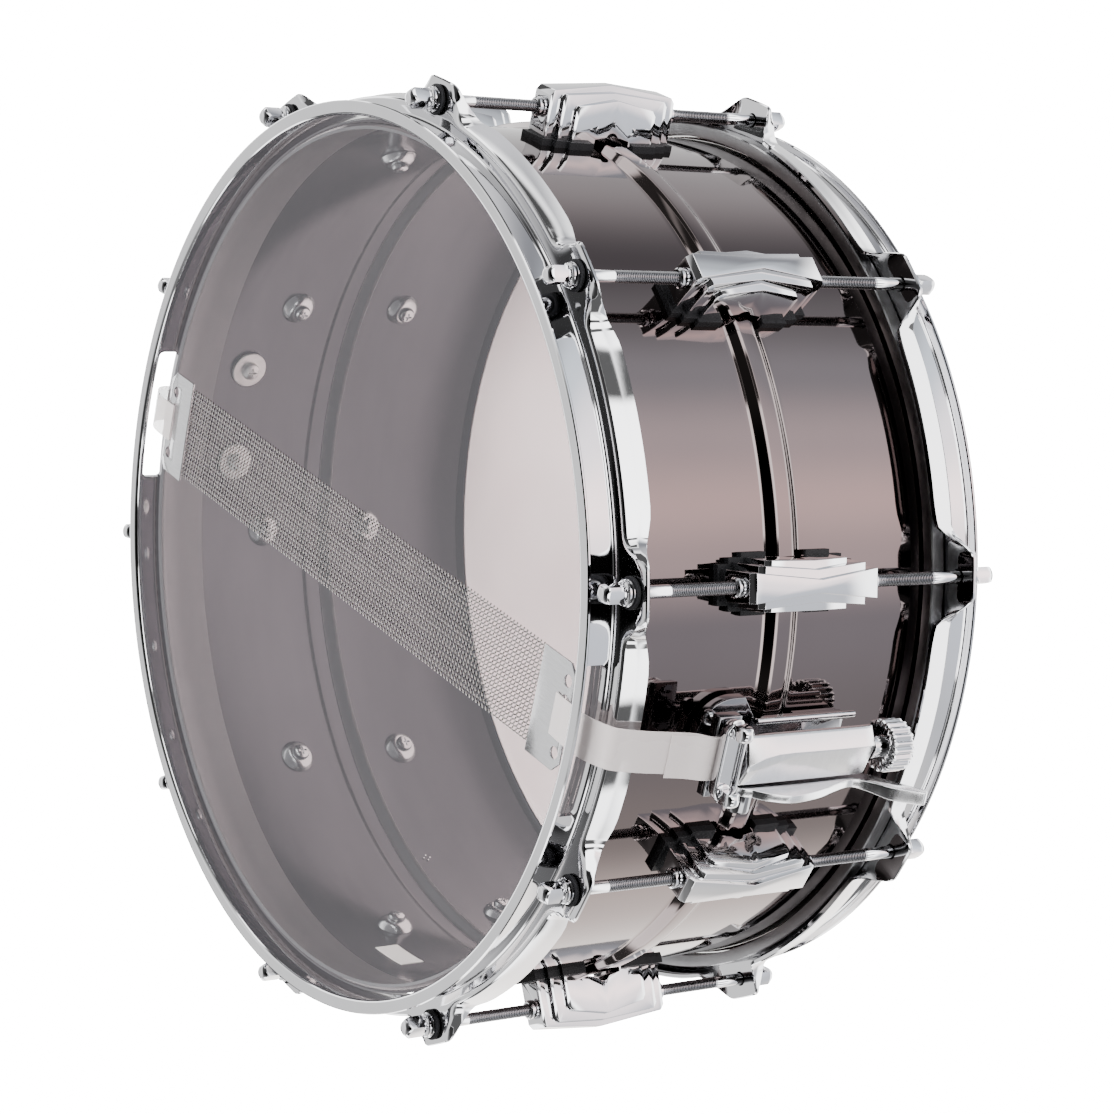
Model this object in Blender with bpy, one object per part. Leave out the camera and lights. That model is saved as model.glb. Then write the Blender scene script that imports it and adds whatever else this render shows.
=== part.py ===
"""Snare drum, 14 in by 6.5 in, standing upright with its batter head on top.

Metres, +Z up. The origin is the centre of the batter head's playing face. Heights inside the script are measured
from the middle of the shell, which lies at MIDDLE_Z; +X points at the strainer.
"""

import math

import bmesh
import bpy

MM = 0.001

# Shell
SHELL_R = 177.8 * MM
SHELL_WALL = 1.2 * MM
SHELL_HALF = 82.55 * MM
EDGE_FLANGE = 2.8 * MM
BEAD_HEIGHT = 3.2 * MM
BEAD_HALF_WIDTH = 8.5 * MM
BEAD_CROWN_HALF_WIDTH = 2.5 * MM
RING_SEGMENTS = 60

# Heads
FILM = 0.3 * MM
FILM_GAP = 0.4 * MM
FILM_TOP = SHELL_HALF + FILM_GAP + FILM
MIDDLE_Z = -FILM_TOP
CLEARANCE = 0.3 * MM
COLLAR_R = 178.5 * MM
COLLAR_Z = 76.1 * MM
FLESH_HOOP_R = (179.0 * MM, 184.3 * MM)
FLESH_HOOP_Z = (69.3 * MM, 75.7 * MM)

# Hoops
RIM_Z = 93.1 * MM
HOOP_INNER_R = 178.9 * MM
HOOP_SHEET = 2.2 * MM
RIM_ROUNDING = 0.9 * MM
LIP_R = 184.8 * MM
FLANGE_Z = 78.3 * MM
SKIRT_TOP_R = 186.4 * MM
SKIRT_BOTTOM_R = 189.2 * MM
SKIRT_Z = 67.0 * MM
EAR_R = 199.7 * MM
EAR_ROOT_R = 187.0 * MM
EAR_TIP_ANGLE = 2.2
EAR_ROOT_ANGLE = 5.8
RING_MID_ANGLE = 11.5
EAR_HOLE_R = 3.3 * MM
GATE_HALF_WIDTH = 30.0 * MM
GATE_Z = (80.5 * MM, 90.0 * MM)
GATE_DEPTH = (170.0 * MM, 184.4 * MM)

# Lugs and rods
ROD_COUNT = 10
ROD_STEP = 360 / ROD_COUNT
FIRST_ROD_ANGLE = ROD_STEP / 2
ROD_CIRCLE_R = 191.5 * MM
ROD_R = 2.5 * MM
ROD_TIP_Z = 17.0 * MM
KEY_HEAD_HALF = 3.4 * MM
LUG_BASE_R = 179.3 * MM
LUG_NOTCH_HALF = 9.0 * MM
LUG_NOTCH_R = 184.0 * MM
LUG_BORE_R = 3.2 * MM
LUG_BORE_Z = 14.0 * MM
SWIVEL_R = 4.0 * MM
SWIVEL_Z = 33.4 * MM

# Snares
WIRE_BAND_Z = (FILM_TOP + CLEARANCE, FILM_TOP + 1.9 * MM)
END_PLATE_Z = (FILM_TOP + 2.2 * MM, FILM_TOP + 3.2 * MM)
STRAP_WIDTH = 16.5 * MM
STRAP_THICKNESS = 0.6 * MM
PLATE_HOLE_R = 2.45 * MM

# Strainer, centred on +X, and butt opposite
PIVOT_R = 198.0 * MM
PIVOT_Z = -22.0 * MM
LEVER_SIDE = (11.7 * MM, 15.0 * MM)
LEVER_EYE_R = 8.0 * MM
PIN_R = 2.6 * MM
SPINDLE_X = 202.5 * MM
KNOB_R = 10.3 * MM
CLAMP_Z = (-41.0 * MM, -30.6 * MM)
CLAMP_HALF_WIDTH = 16.0 * MM
CLAMP_SCREW_OFFSET = 13.0 * MM
STRAINER_SEAT_R = 200.0 * MM
BUTT_SEAT_R = 192.6 * MM
BUTT_CLAMP_Z = (-50.4 * MM, -40.0 * MM)
BUTT_SCREW_ANGLE = 7.4
BUTT_SCREW_Z = -45.0 * MM
BASE_SCREW_HEIGHTS = (-26.0 * MM, 24.0 * MM)
SCREW_HOLE_R = 2.6 * MM


def clear_scene():
    for old in list(bpy.data.objects):
        bpy.data.objects.remove(old, do_unlink=True)


def make_material(name, colour, roughness, metallic, alpha=1.0):
    material = bpy.data.materials.new(name)
    material.use_nodes = True
    shader = material.node_tree.nodes["Principled BSDF"]
    shader.inputs["Base Color"].default_value = (*colour, 1)
    shader.inputs["Roughness"].default_value = roughness
    shader.inputs["Metallic"].default_value = metallic
    shader.inputs["Alpha"].default_value = alpha
    return material


def finish_mesh(name, bm, material, location=(0, 0, MIDDLE_Z), turn=0.0):
    """Makes an object from the bmesh, with smooth round sides, turned about its own vertical axis in degrees."""
    bmesh.ops.recalc_face_normals(bm, faces=bm.faces)
    mesh = bpy.data.meshes.new(name)
    bm.to_mesh(mesh)
    bm.free()
    return place_mesh(name, mesh, material, location, turn)


def place_mesh(name, mesh, material, location=(0, 0, MIDDLE_Z), turn=0.0):
    obj = bpy.data.objects.new(name, mesh)
    obj.location = location
    obj.rotation_euler = (0, 0, math.radians(turn))
    if not mesh.materials:
        mesh.materials.append(material)
    smooth_round_sides(obj)
    bpy.context.scene.collection.objects.link(obj)
    return obj


def smooth_round_sides(obj):
    obj.data.shade_smooth()
    obj.data.set_sharp_from_angle(angle=math.radians(35))


def combine(obj, others, operation):
    """Cuts other objects out of this one or joins them to it, and keeps the result as its mesh."""
    for other in others:
        other.hide_render = True
        other.display_type = "WIRE"
        modifier = obj.modifiers.new(operation.title(), "BOOLEAN")
        modifier.operation = operation
        modifier.solver = "EXACT"
        modifier.object = other
    bpy.context.view_layer.update()
    graph = bpy.context.evaluated_depsgraph_get()
    result = bpy.data.meshes.new_from_object(obj.evaluated_get(graph))
    obj.modifiers.clear()
    obj.data = result
    for other in others:
        bpy.data.objects.remove(other, do_unlink=True)
    smooth_round_sides(obj)
    return obj


# --- shapes that the pieces are made of


def axis_point(axis, along, first, second):
    if axis == "X":
        return (along, first, second)
    if axis == "Y":
        return (first, along, second)
    return (first, second, along)


def turn_profile(bm, profile, angles, whole_circle=True):
    """Turns a closed (radius, height) outline about the drum's axis through the given angles in degrees."""
    rings = []
    for angle in angles:
        c, s = math.cos(math.radians(angle)), math.sin(math.radians(angle))
        rings.append([bm.verts.new((r * c, r * s, z)) for r, z in profile])
    join_rings(bm, rings, whole_circle)


def join_rings(bm, rings, closed):
    """Skins a row of equal closed outlines. An open row gets a cap at each end."""
    count = len(rings[0])
    pairs = list(zip(rings, rings[1:]))
    if closed:
        pairs.append((rings[-1], rings[0]))
    for first, second in pairs:
        for i in range(count):
            j = (i + 1) % count
            bm.faces.new((first[i], first[j], second[j], second[i]))
    if not closed:
        bm.faces.new(rings[0])
        bm.faces.new(rings[-1])


def stack_rings(bm, rings):
    join_rings(bm, [[bm.verts.new(point) for point in ring] for ring in rings], closed=False)


def round_stack(bm, profile, axis, centre=(0, 0), segments=12):
    """A turned pin: (radius, position along the axis) pairs, on a line parallel to X, Y or Z."""
    rings = []
    for radius, along in profile:
        points = arc_points(centre, radius, 0, 360 - 360 / segments, segments)
        rings.append([axis_point(axis, along, a, b) for a, b in points])
    stack_rings(bm, rings)


def extrude_outline(bm, outline, axis, low, high):
    """A prism from an outline in the plane across the axis."""
    stack_rings(bm, [[axis_point(axis, along, a, b) for a, b in outline] for along in (low, high)])


def add_box(bm, x, y, z):
    extrude_outline(bm, [(x[0], y[0]), (x[1], y[0]), (x[1], y[1]), (x[0], y[1])], "Z", z[0], z[1])


def arc_points(centre, radius, start, end, count):
    """Points on an arc, from one angle to another in degrees."""
    points = []
    for i in range(count):
        angle = math.radians(start + (end - start) * i / (count - 1))
        points.append((centre[0] + radius * math.cos(angle), centre[1] + radius * math.sin(angle)))
    return points


def helper(name, build):
    """An unplaced solid for a Boolean, made by a function that fills a bmesh."""
    bm = bmesh.new()
    build(bm)
    return finish_mesh(name, bm, bpy.data.materials[0])


def rod_angles():
    return [FIRST_ROD_ANGLE + ROD_STEP * i for i in range(ROD_COUNT)]


def ring_angles():
    return [360 * i / RING_SEGMENTS for i in range(RING_SEGMENTS)]


# --- shell and heads


def shell_profile():
    """Closed outline of the wall: down the outside, then up the inside."""
    upper = [
        (SHELL_R - EDGE_FLANGE, SHELL_HALF),
        (SHELL_R, SHELL_HALF - EDGE_FLANGE),
        (SHELL_R, BEAD_HALF_WIDTH),
        (SHELL_R + BEAD_HEIGHT, BEAD_CROWN_HALF_WIDTH),
    ]
    outside = upper + [(r, -z) for r, z in reversed(upper)]
    inside = [(r - SHELL_WALL, math.copysign(abs(z) - SHELL_WALL * (r < SHELL_R), z)) for r, z in outside]
    return outside + inside[::-1]


def cut_shell_holes(bm):
    for z in BASE_SCREW_HEIGHTS:
        round_stack(bm, [(SCREW_HOLE_R, 170 * MM), (SCREW_HOLE_R, 184 * MM)], "X", (0, z))


def make_shell(material):
    bm = bmesh.new()
    turn_profile(bm, shell_profile(), ring_angles())
    shell = finish_mesh("shell", bm, material)
    cutters = [helper("strainer_holes", cut_shell_holes)]
    for side in (-1, 1):
        bm = bmesh.new()
        round_stack(bm, [(SCREW_HOLE_R, 170 * MM), (SCREW_HOLE_R, 184 * MM)], "X", (0, BUTT_SCREW_Z))
        cutters.append(finish_mesh("butt_hole", bm, material, turn=180 + side * BUTT_SCREW_ANGLE))
    return combine(shell, cutters, "DIFFERENCE")


def make_head(name, side, material):
    """A film over the bearing edge with a short collar down to the flesh hoop. Side is +1 on top, -1 below."""
    inner_top = FILM_TOP - FILM
    flat_r = SHELL_R - EDGE_FLANGE + 2 * FILM
    drop = COLLAR_R - flat_r
    outline = [
        (flat_r, FILM_TOP),
        (COLLAR_R, FILM_TOP - drop),
        (COLLAR_R, COLLAR_Z),
        (COLLAR_R - FILM, COLLAR_Z),
        (COLLAR_R - FILM, FILM_TOP - drop - FILM / 2),
        (flat_r - FILM / 2, inner_top),
    ]
    bm = bmesh.new()
    rings = []
    for r, z in outline:
        points = [(r * math.cos(math.radians(a)), r * math.sin(math.radians(a))) for a in ring_angles()]
        rings.append([bm.verts.new((x, y, side * z)) for x, y in points])
    join_rings(bm, rings, closed=False)
    return finish_mesh(name, bm, material)


def make_flesh_hoop(name, side, material):
    bm = bmesh.new()
    inner, outer = FLESH_HOOP_R
    low, high = FLESH_HOOP_Z
    outline = [(inner, side * low), (outer, side * low), (outer, side * high), (inner, side * high)]
    turn_profile(bm, outline, ring_angles())
    return finish_mesh(name, bm, material)


# --- hoops


def hoop_profile(at_ear):
    """Closed outline of the pressed sheet: lip, wall, flange, then a skirt, which an ear turns out flat."""
    lip_under = RIM_Z - HOOP_SHEET
    wall_r = HOOP_INNER_R + HOOP_SHEET
    under = FLANGE_Z - HOOP_SHEET
    outline = [
        (HOOP_INNER_R, RIM_Z - RIM_ROUNDING),
        (HOOP_INNER_R + RIM_ROUNDING, RIM_Z),
        (LIP_R - RIM_ROUNDING, RIM_Z),
        (LIP_R, RIM_Z - RIM_ROUNDING),
        (LIP_R - RIM_ROUNDING / 3, lip_under),
        (wall_r, lip_under - RIM_ROUNDING / 2),
        (wall_r, FLANGE_Z),
    ]
    if at_ear:
        outline += [(EAR_ROOT_R, FLANGE_Z), (ROD_CIRCLE_R + EAR_HOLE_R, FLANGE_Z), (EAR_R, FLANGE_Z)]
        outline += [(EAR_R, under), (EAR_ROOT_R - HOOP_SHEET, under)]
    else:
        corner_drop = 0.8 * HOOP_SHEET
        outline += [(SKIRT_TOP_R, FLANGE_Z), (SKIRT_TOP_R + corner_drop / 2, FLANGE_Z - corner_drop)]
        outline += [(SKIRT_BOTTOM_R, SKIRT_Z), (SKIRT_BOTTOM_R - HOOP_SHEET, SKIRT_Z)]
        outline += [(SKIRT_TOP_R - HOOP_SHEET * 0.7, under)]
    outline.append((HOOP_INNER_R, under))
    return outline


def hoop_stations():
    """(angle, whether it is on an ear's tip) round the hoop, closer together at each ear."""
    steps = [-ROD_STEP / 2, -RING_MID_ANGLE, -EAR_ROOT_ANGLE, -EAR_TIP_ANGLE]
    steps += [EAR_TIP_ANGLE, EAR_ROOT_ANGLE, RING_MID_ANGLE]
    return [(rod + step, abs(step) == EAR_TIP_ANGLE) for rod in rod_angles() for step in steps]


def cut_gates(bm):
    for end in (-1, 1):
        x = sorted(end * depth for depth in GATE_DEPTH)
        add_box(bm, x, (-GATE_HALF_WIDTH, GATE_HALF_WIDTH), (-GATE_Z[1], -GATE_Z[0]))


def cut_rod_holes(bm, side):
    low, high = sorted((side * (FLANGE_Z - 3 * HOOP_SHEET), side * (FLANGE_Z + HOOP_SHEET)))
    for angle in rod_angles():
        c, s = math.cos(math.radians(angle)), math.sin(math.radians(angle))
        centre = (ROD_CIRCLE_R * c, ROD_CIRCLE_R * s)
        round_stack(bm, [(EAR_HOLE_R, low), (EAR_HOLE_R, high)], "Z", centre, segments=10)


def make_hoop(name, side, material, gates):
    bm = bmesh.new()
    rings = []
    for angle, at_ear in hoop_stations():
        c, s = math.cos(math.radians(angle)), math.sin(math.radians(angle))
        rings.append([bm.verts.new((r * c, r * s, side * z)) for r, z in hoop_profile(at_ear)])
    join_rings(bm, rings, closed=True)
    hoop = finish_mesh(name, bm, material)
    cutters = [helper("rod_holes", lambda cut: cut_rod_holes(cut, side))]
    if gates:
        cutters.append(helper("gates", cut_gates))
    return combine(hoop, cutters, "DIFFERENCE")


# --- lugs and tension rods


def lug_tier(bm, half_length, half_width, end_top, crown_top):
    """One step of the lug: a block with chamfered ends whose back rises to a ridge at the middle."""
    chamfer = 2.5 * MM
    rings = []
    profile = [(-half_length, end_top - chamfer), (chamfer - half_length, end_top), (0, crown_top)]
    profile += [(-z, top) for z, top in profile[1::-1]]
    for z, top in profile:
        corners = [(LUG_BASE_R, -half_width), (LUG_BASE_R, half_width), (top, half_width), (top, -half_width)]
        rings.append([(x, y, z) for x, y in corners])
    stack_rings(bm, rings)


def make_lug_mesh(material):
    """Three crossing blocks, cut away over the shell's bead, with a swivel nut's collar and a bore at each end."""
    tiers = ((30.3, 5.65, 199.6, 202.4), (25.3, 7.9, 198.6, 199.9), (19.5, 10.0, 194.5, 197.7))
    blocks = []
    for tier in tiers:
        bm = bmesh.new()
        lug_tier(bm, *[size * MM for size in tier])
        blocks.append(finish_mesh("lug_tier", bm, material))
    lug, added = blocks[0], blocks[1:]
    for end in (-1, 1):
        collar = sorted((end * 20 * MM, end * SWIVEL_Z))
        bore = sorted((end * LUG_BORE_Z, end * (SWIVEL_Z + MM)))
        added.append(helper("collar", lambda bm, z=collar: lug_rod(bm, SWIVEL_R, z)))
        blocks.append(helper("bore", lambda bm, z=bore: lug_rod(bm, LUG_BORE_R, z)))
    combine(lug, added, "UNION")
    notch_z = (-LUG_NOTCH_HALF, LUG_NOTCH_HALF)
    notch = helper("notch", lambda bm: add_box(bm, (170 * MM, LUG_NOTCH_R), (-20 * MM, 20 * MM), notch_z))
    combine(lug, blocks[-2:] + [notch], "DIFFERENCE")
    mesh = lug.data
    bpy.data.objects.remove(lug, do_unlink=True)
    return mesh


def lug_rod(bm, radius, z):
    round_stack(bm, [(radius, z[0]), (radius, z[1])], "Z", (ROD_CIRCLE_R, 0), segments=8)


def make_lugs(material):
    mesh = make_lug_mesh(material)
    for number, angle in enumerate(rod_angles(), start=1):
        place_mesh(f"lug_{number:02d}", mesh, material, turn=angle)


def square_ring(half, corner_radius_share=1.0):
    """Eight points of a square: its corners, pulled in by the share, and the middles of its sides."""
    points = []
    for i in range(8):
        angle = math.radians(45 * i)
        reach = half if i % 2 == 0 else half * math.sqrt(2) * corner_radius_share
        points.append((reach * math.cos(angle), reach * math.sin(angle)))
    return points


def make_rod_mesh(side, material):
    """A key rod with its two washers, about its own axis. Heights are measured from the ear's outer face."""
    seat = CLEARANCE
    washer, chrome_washer, collar = 1.2 * MM, 2.4 * MM, 4.4 * MM
    head_top = 14.2 * MM
    profile = [(ROD_R, ROD_TIP_Z - FLANGE_Z), (ROD_R, seat), (6.1 * MM, seat), (6.1 * MM, washer + seat)]
    profile += [(5.0 * MM, washer + seat), (5.0 * MM, chrome_washer + seat), (4.5 * MM, collar)]
    rings = []
    for radius, z in profile:
        rings.append([(x, y, side * z) for x, y in arc_points((0, 0), radius, 0, 315, 8)])
    for half, z in ((KEY_HEAD_HALF, collar), (KEY_HEAD_HALF, head_top - MM), (0.6 * KEY_HEAD_HALF, head_top)):
        rings.append([(x, y, side * z) for x, y in square_ring(half, 0.95)])
    bm = bmesh.new()
    stack_rings(bm, rings)
    rod = finish_mesh("tension_rod", bm, material)
    mesh = rod.data
    bpy.data.objects.remove(rod, do_unlink=True)
    return mesh


def make_rods(material):
    for side, label in ((1, "batter_rod"), (-1, "snare_rod")):
        mesh = make_rod_mesh(side, material)
        for number, angle in enumerate(rod_angles(), start=1):
            c, s = math.cos(math.radians(angle)), math.sin(math.radians(angle))
            place = (ROD_CIRCLE_R * c, ROD_CIRCLE_R * s, MIDDLE_Z + side * FLANGE_Z)
            place_mesh(f"{label}_{number:02d}", mesh, material, place, angle)


# --- snare wires, end plates and straps


def make_wire_band(material):
    """One flat slab in place of the twenty coiled strands, which lie slightly askew."""
    low, high = -WIRE_BAND_Z[1], -WIRE_BAND_Z[0]
    left = (-149.5 * MM, -21.6 * MM, 19.8 * MM)
    right = (151.0 * MM, -24.8 * MM, 15.1 * MM)
    outline = [(left[0], left[1]), (right[0], right[1]), (right[0], right[2]), (left[0], left[2])]
    bm = bmesh.new()
    extrude_outline(bm, outline, "Z", low, high)
    return finish_mesh("snare_wires", bm, material)


def make_end_plate(name, end, inner_x, outer_x, centre_y, half_length, hole_x, material):
    """A plate across the wires' ends, with two holes and a slot for the strap. End is +1 at the strainer."""
    chamfer = 4.0 * MM
    low, high = -END_PLATE_Z[1], -END_PLATE_Z[0]
    sides = (centre_y - half_length, centre_y + half_length)
    outline = [
        (end * inner_x, sides[0]),
        (end * (outer_x - chamfer), sides[0]),
        (end * outer_x, sides[0] + chamfer),
        (end * outer_x, sides[1] - chamfer),
        (end * (outer_x - chamfer), sides[1]),
        (end * inner_x, sides[1]),
    ]
    bm = bmesh.new()
    extrude_outline(bm, outline, "Z", low, high)
    plate = finish_mesh(name, bm, material)

    def cut(cutter):
        for offset in (-14.3 * MM, 14.3 * MM):
            hole = [(PLATE_HOLE_R, low - MM), (PLATE_HOLE_R, high + MM)]
            round_stack(cutter, hole, "Z", (end * hole_x, centre_y + offset), segments=10)
        slot_x = sorted((end * (hole_x - MM), end * (hole_x + MM)))
        slot_half = STRAP_WIDTH / 2 + 0.4 * MM
        add_box(cutter, slot_x, (centre_y - slot_half, centre_y + slot_half), (low - MM, high + MM))

    return combine(plate, [helper("plate_cuts", cut)], "DIFFERENCE")


def make_strap(name, end, route, centre_ys, material):
    """A flat strap along a route of (distance from the axis, height) points. Its middle drifts in Y on the way."""
    half = STRAP_THICKNESS / 2
    rings = []
    for i, (x, z) in enumerate(route):
        before, after = route[max(i - 1, 0)], route[min(i + 1, len(route) - 1)]
        along = math.hypot(after[0] - before[0], after[1] - before[1])
        normal = (-(after[1] - before[1]) / along, (after[0] - before[0]) / along)
        share = i / (len(route) - 1)
        middle = centre_ys[0] + (centre_ys[1] - centre_ys[0]) * share
        ring = []
        for reach, y in ((-half, -1), (-half, 1), (half, 1), (half, -1)):
            point = (end * (x + reach * normal[0]), middle + y * STRAP_WIDTH / 2, z + reach * normal[1])
            ring.append(point)
        rings.append(ring)
    bm = bmesh.new()
    stack_rings(bm, rings)
    return finish_mesh(name, bm, material)


def make_snares(metal, plate_metal, plastic):
    make_wire_band(metal)
    plate_middles = {"strainer": -4.1 * MM, "butt": -1.3 * MM}
    sizes = (148.0 * MM, 170.0 * MM, plate_middles["strainer"], 21.4 * MM, 166.0 * MM)
    make_end_plate("strainer_end_plate", 1, *sizes, plate_metal)
    sizes = (148.0 * MM, 168.0 * MM, plate_middles["butt"], 23.0 * MM, 162.5 * MM)
    make_end_plate("butt_end_plate", -1, *sizes, plate_metal)
    start_z = -(END_PLATE_Z[1] + CLEARANCE + STRAP_THICKNESS / 2)
    over_rim = [(161.5 * MM, start_z), (175.0 * MM, start_z), (182.0 * MM, -85.2 * MM), (189.4 * MM, -80.8 * MM)]
    to_strainer = [(191.6 * MM, -76.0 * MM), (194.0 * MM, -66.0 * MM), (197.2 * MM, -49.5 * MM)]
    seat = STRAINER_SEAT_R + CLEARANCE + STRAP_THICKNESS / 2
    to_strainer += [(seat, CLAMP_Z[0] - 1.5 * MM), (seat, CLAMP_Z[1] - 0.6 * MM)]
    make_strap("strainer_strap", 1, over_rim + to_strainer, (plate_middles["strainer"], 0), plastic)
    seat = BUTT_SEAT_R + CLEARANCE + STRAP_THICKNESS / 2
    to_butt = [(191.6 * MM, -74.0 * MM), (192.3 * MM, -64.0 * MM)]
    to_butt += [(seat, BUTT_CLAMP_Z[0] - 1.5 * MM), (seat, BUTT_CLAMP_Z[1] - 0.6 * MM)]
    make_strap("butt_strap", -1, over_rim + to_butt, (plate_middles["butt"], 0), plastic)


# --- strainer


def make_strainer_base(material):
    """A foot plate on the shell with a wide rounded end, and two guide rails."""
    wide, narrow, foot, top = 15.0 * MM, 10.0 * MM, -37.0 * MM, 33.0 * MM
    back, front = LUG_BASE_R, 183.6 * MM
    outline = arc_points((0, foot + wide), wide, 180, 360, 9)
    outline += [(wide, -16 * MM), (narrow, -11 * MM), (narrow, top - 3 * MM), (narrow - 3 * MM, top)]
    outline += [(3 * MM - narrow, top), (-narrow, top - 3 * MM), (-narrow, -11 * MM), (-wide, -16 * MM)]
    bm = bmesh.new()
    extrude_outline(bm, outline, "X", back, front)
    base = finish_mesh("strainer_base", bm, material)
    rails = []
    for y in ((-8.5 * MM, -6 * MM), (6 * MM, 8.5 * MM)):
        rail_z = (-15 * MM, 31 * MM)
        rails.append(helper("rail", lambda cut, y=y: add_box(cut, (front - MM, 190 * MM), y, rail_z)))
    combine(base, rails, "UNION")

    def cut(cutter):
        add_box(cutter, (170 * MM, SHELL_R + BEAD_HEIGHT + 0.8 * MM), (-20 * MM, 20 * MM), (-10 * MM, 10 * MM))
        for z in BASE_SCREW_HEIGHTS:
            hole = [(SCREW_HOLE_R, back - MM), (SCREW_HOLE_R, front + MM)]
            round_stack(cutter, hole, "X", (0, z), segments=10)

    return combine(base, [helper("base_cuts", cut)], "DIFFERENCE")


def make_strainer_cover(material):
    """An arched cover with a low ridge. It is open at both ends, underneath and low on its -Y side."""
    low, high = -23.0 * MM, 31.0 * MM
    outer = [(-9, 199), (-9, 203.8), (-6.2, 206.6), (0, 208.0), (7, 206.4), (11, 203.6), (11, 190.6)]
    inner = [(9.6, 190.6), (9.6, 202.9), (6.4, 205.4), (0, 206.8), (-5.6, 205.4), (-7.6, 203.2), (-7.6, 199)]
    outline = [(x * MM, y * MM) for y, x in outer + inner]
    bm = bmesh.new()
    extrude_outline(bm, outline, "Z", low, high)
    return finish_mesh("strainer_cover", bm, material)


def make_knob(material):
    """A round knob with its spindle, which runs down inside the cover into the carriage. Origin on its axis."""
    thread_r, spindle_r = 2.0 * MM, 4.5 * MM
    profile = [(thread_r, -18 * MM), (thread_r, 31.4 * MM), (spindle_r, 31.4 * MM), (spindle_r, 36 * MM)]
    profile += [(KNOB_R - MM, 36 * MM), (KNOB_R, 37 * MM), (KNOB_R, 45.5 * MM), (KNOB_R - MM, 46.5 * MM)]
    bm = bmesh.new()
    round_stack(bm, profile, "Z", segments=20)
    return finish_mesh("tension_knob", bm, material, (SPINDLE_X, 0, MIDDLE_Z))


def make_carriage(material):
    """The slide: a clamp jaw below the cover and a stem inside it, threaded for the spindle."""
    stem_z = (CLAMP_Z[1] - MM, -4.0 * MM)
    bm = bmesh.new()
    add_box(bm, (189 * MM, STRAINER_SEAT_R), (-CLAMP_HALF_WIDTH, CLAMP_HALF_WIDTH), CLAMP_Z)
    carriage = finish_mesh("clamp_carriage", bm, material)
    lower = helper("stem", lambda cut: add_box(cut, (193 * MM, 199 * MM), (-5 * MM, 5 * MM), stem_z))
    upper_z = (-21 * MM, stem_z[1])
    upper = helper("nut", lambda cut: add_box(cut, (198 * MM, 205 * MM), (-4.6 * MM, 4.6 * MM), upper_z))
    combine(carriage, [lower, upper], "UNION")

    def cut(cutter):
        hole = [(2.5 * MM, -30 * MM), (2.5 * MM, 0)]
        round_stack(cutter, hole, "Z", (SPINDLE_X, 0), segments=10)
        clamp_screw_holes(cutter, STRAINER_SEAT_R, CLAMP_Z)

    return combine(carriage, [helper("carriage_cuts", cut)], "DIFFERENCE")


def clamp_screw_holes(cutter, seat, clamp_z):
    middle = (clamp_z[0] + clamp_z[1]) / 2
    for y in (-CLAMP_SCREW_OFFSET, CLAMP_SCREW_OFFSET):
        hole = [(2.3 * MM, seat - 7 * MM), (2.3 * MM, seat + 10 * MM)]
        round_stack(cutter, hole, "X", (y, middle), segments=10)


def make_clamp_plate(name, seat, clamp_z, thickness, material, turn=0.0):
    """The bar that presses the strap's end onto its seat, with a hole at each end."""
    low, high = clamp_z
    inner = seat + 2 * CLEARANCE + STRAP_THICKNESS + 0.1 * MM
    radius = (high - low) / 2
    middle = (low + high) / 2
    straight = CLAMP_HALF_WIDTH - radius
    outline = arc_points((straight, middle), radius, -90, 90, 7) + arc_points((-straight, middle), radius, 90, 270, 7)
    bm = bmesh.new()
    extrude_outline(bm, outline, "X", inner, inner + thickness)
    plate = finish_mesh(name, bm, material, turn=turn)

    def cut(cutter):
        clamp_screw_holes(cutter, seat, clamp_z)

    holes = helper("plate_holes", cut)
    holes.rotation_euler.z = math.radians(turn)
    return combine(plate, [holes], "DIFFERENCE")


def make_clamp_screw(name, seat, clamp_z, plate_thickness, head, y, material, turn=0.0):
    """A square-head screw through the clamp plate into the jaw, about its own axis."""
    plate_top = seat + 3 * CLEARANCE + STRAP_THICKNESS + 0.1 * MM + plate_thickness
    middle = (clamp_z[0] + clamp_z[1]) / 2
    shank_r, flange_r = 2.0 * MM, 3.8 * MM
    profile = [(shank_r, seat - 6.5 * MM), (shank_r, plate_top), (flange_r, plate_top), (flange_r, plate_top + MM)]
    rings = []
    for radius, x in profile:
        rings.append([(x, y + a, middle + b) for a, b in arc_points((0, 0), radius, 0, 315, 8)])
    for half, x in ((2.9 * MM, plate_top + MM), (2.9 * MM, plate_top + head - MM), (1.8 * MM, plate_top + head)):
        rings.append([(x, y + a, middle + b) for a, b in square_ring(half, 0.92)])
    bm = bmesh.new()
    stack_rings(bm, rings)
    return finish_mesh(name, bm, material, turn=turn)


def make_shell_screw(name, z, length, material, turn=0.0):
    """A screw from inside the shell, with its head and washer against the wall."""
    inside = SHELL_R - SHELL_WALL - 0.5 * MM
    head, washer, shank = 3.9 * MM, 6.5 * MM, 2.0 * MM
    profile = [(head - MM, inside - 4.6 * MM), (head, inside - 3.6 * MM), (head, inside - 1.2 * MM)]
    profile += [(washer, inside - 1.2 * MM), (washer, inside), (shank, inside), (shank, inside + length)]
    bm = bmesh.new()
    round_stack(bm, profile, "X", (0, z))
    return finish_mesh(name, bm, material, turn=turn)


def lever_outline():
    """The lever's side view about its pivot: a round eye, a belly, a waist and a tip that flares outwards."""
    eye = arc_points((0, 0), LEVER_EYE_R, 180, 350, 9)
    belly = [(13.6, 2.0), (15.3, 9.5), (15.5, 16.0), (13.5, 27.0), (10.0, 36.5), (7.5, 46.0), (11.5, 53.0)]
    tip = [(17.0, 58.0), (24.0, 69.0), (23.2, 71.4), (21.0, 72.0)]
    inner_edge = [(12.0, 63.0), (4.5, 56.5), (0.0, 47.0), (-2.5, 36.0), (-4.5, 22.0), (-7.0, 9.0)]
    return eye + [(x * MM, z * MM) for x, z in belly + tip + inner_edge]


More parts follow.
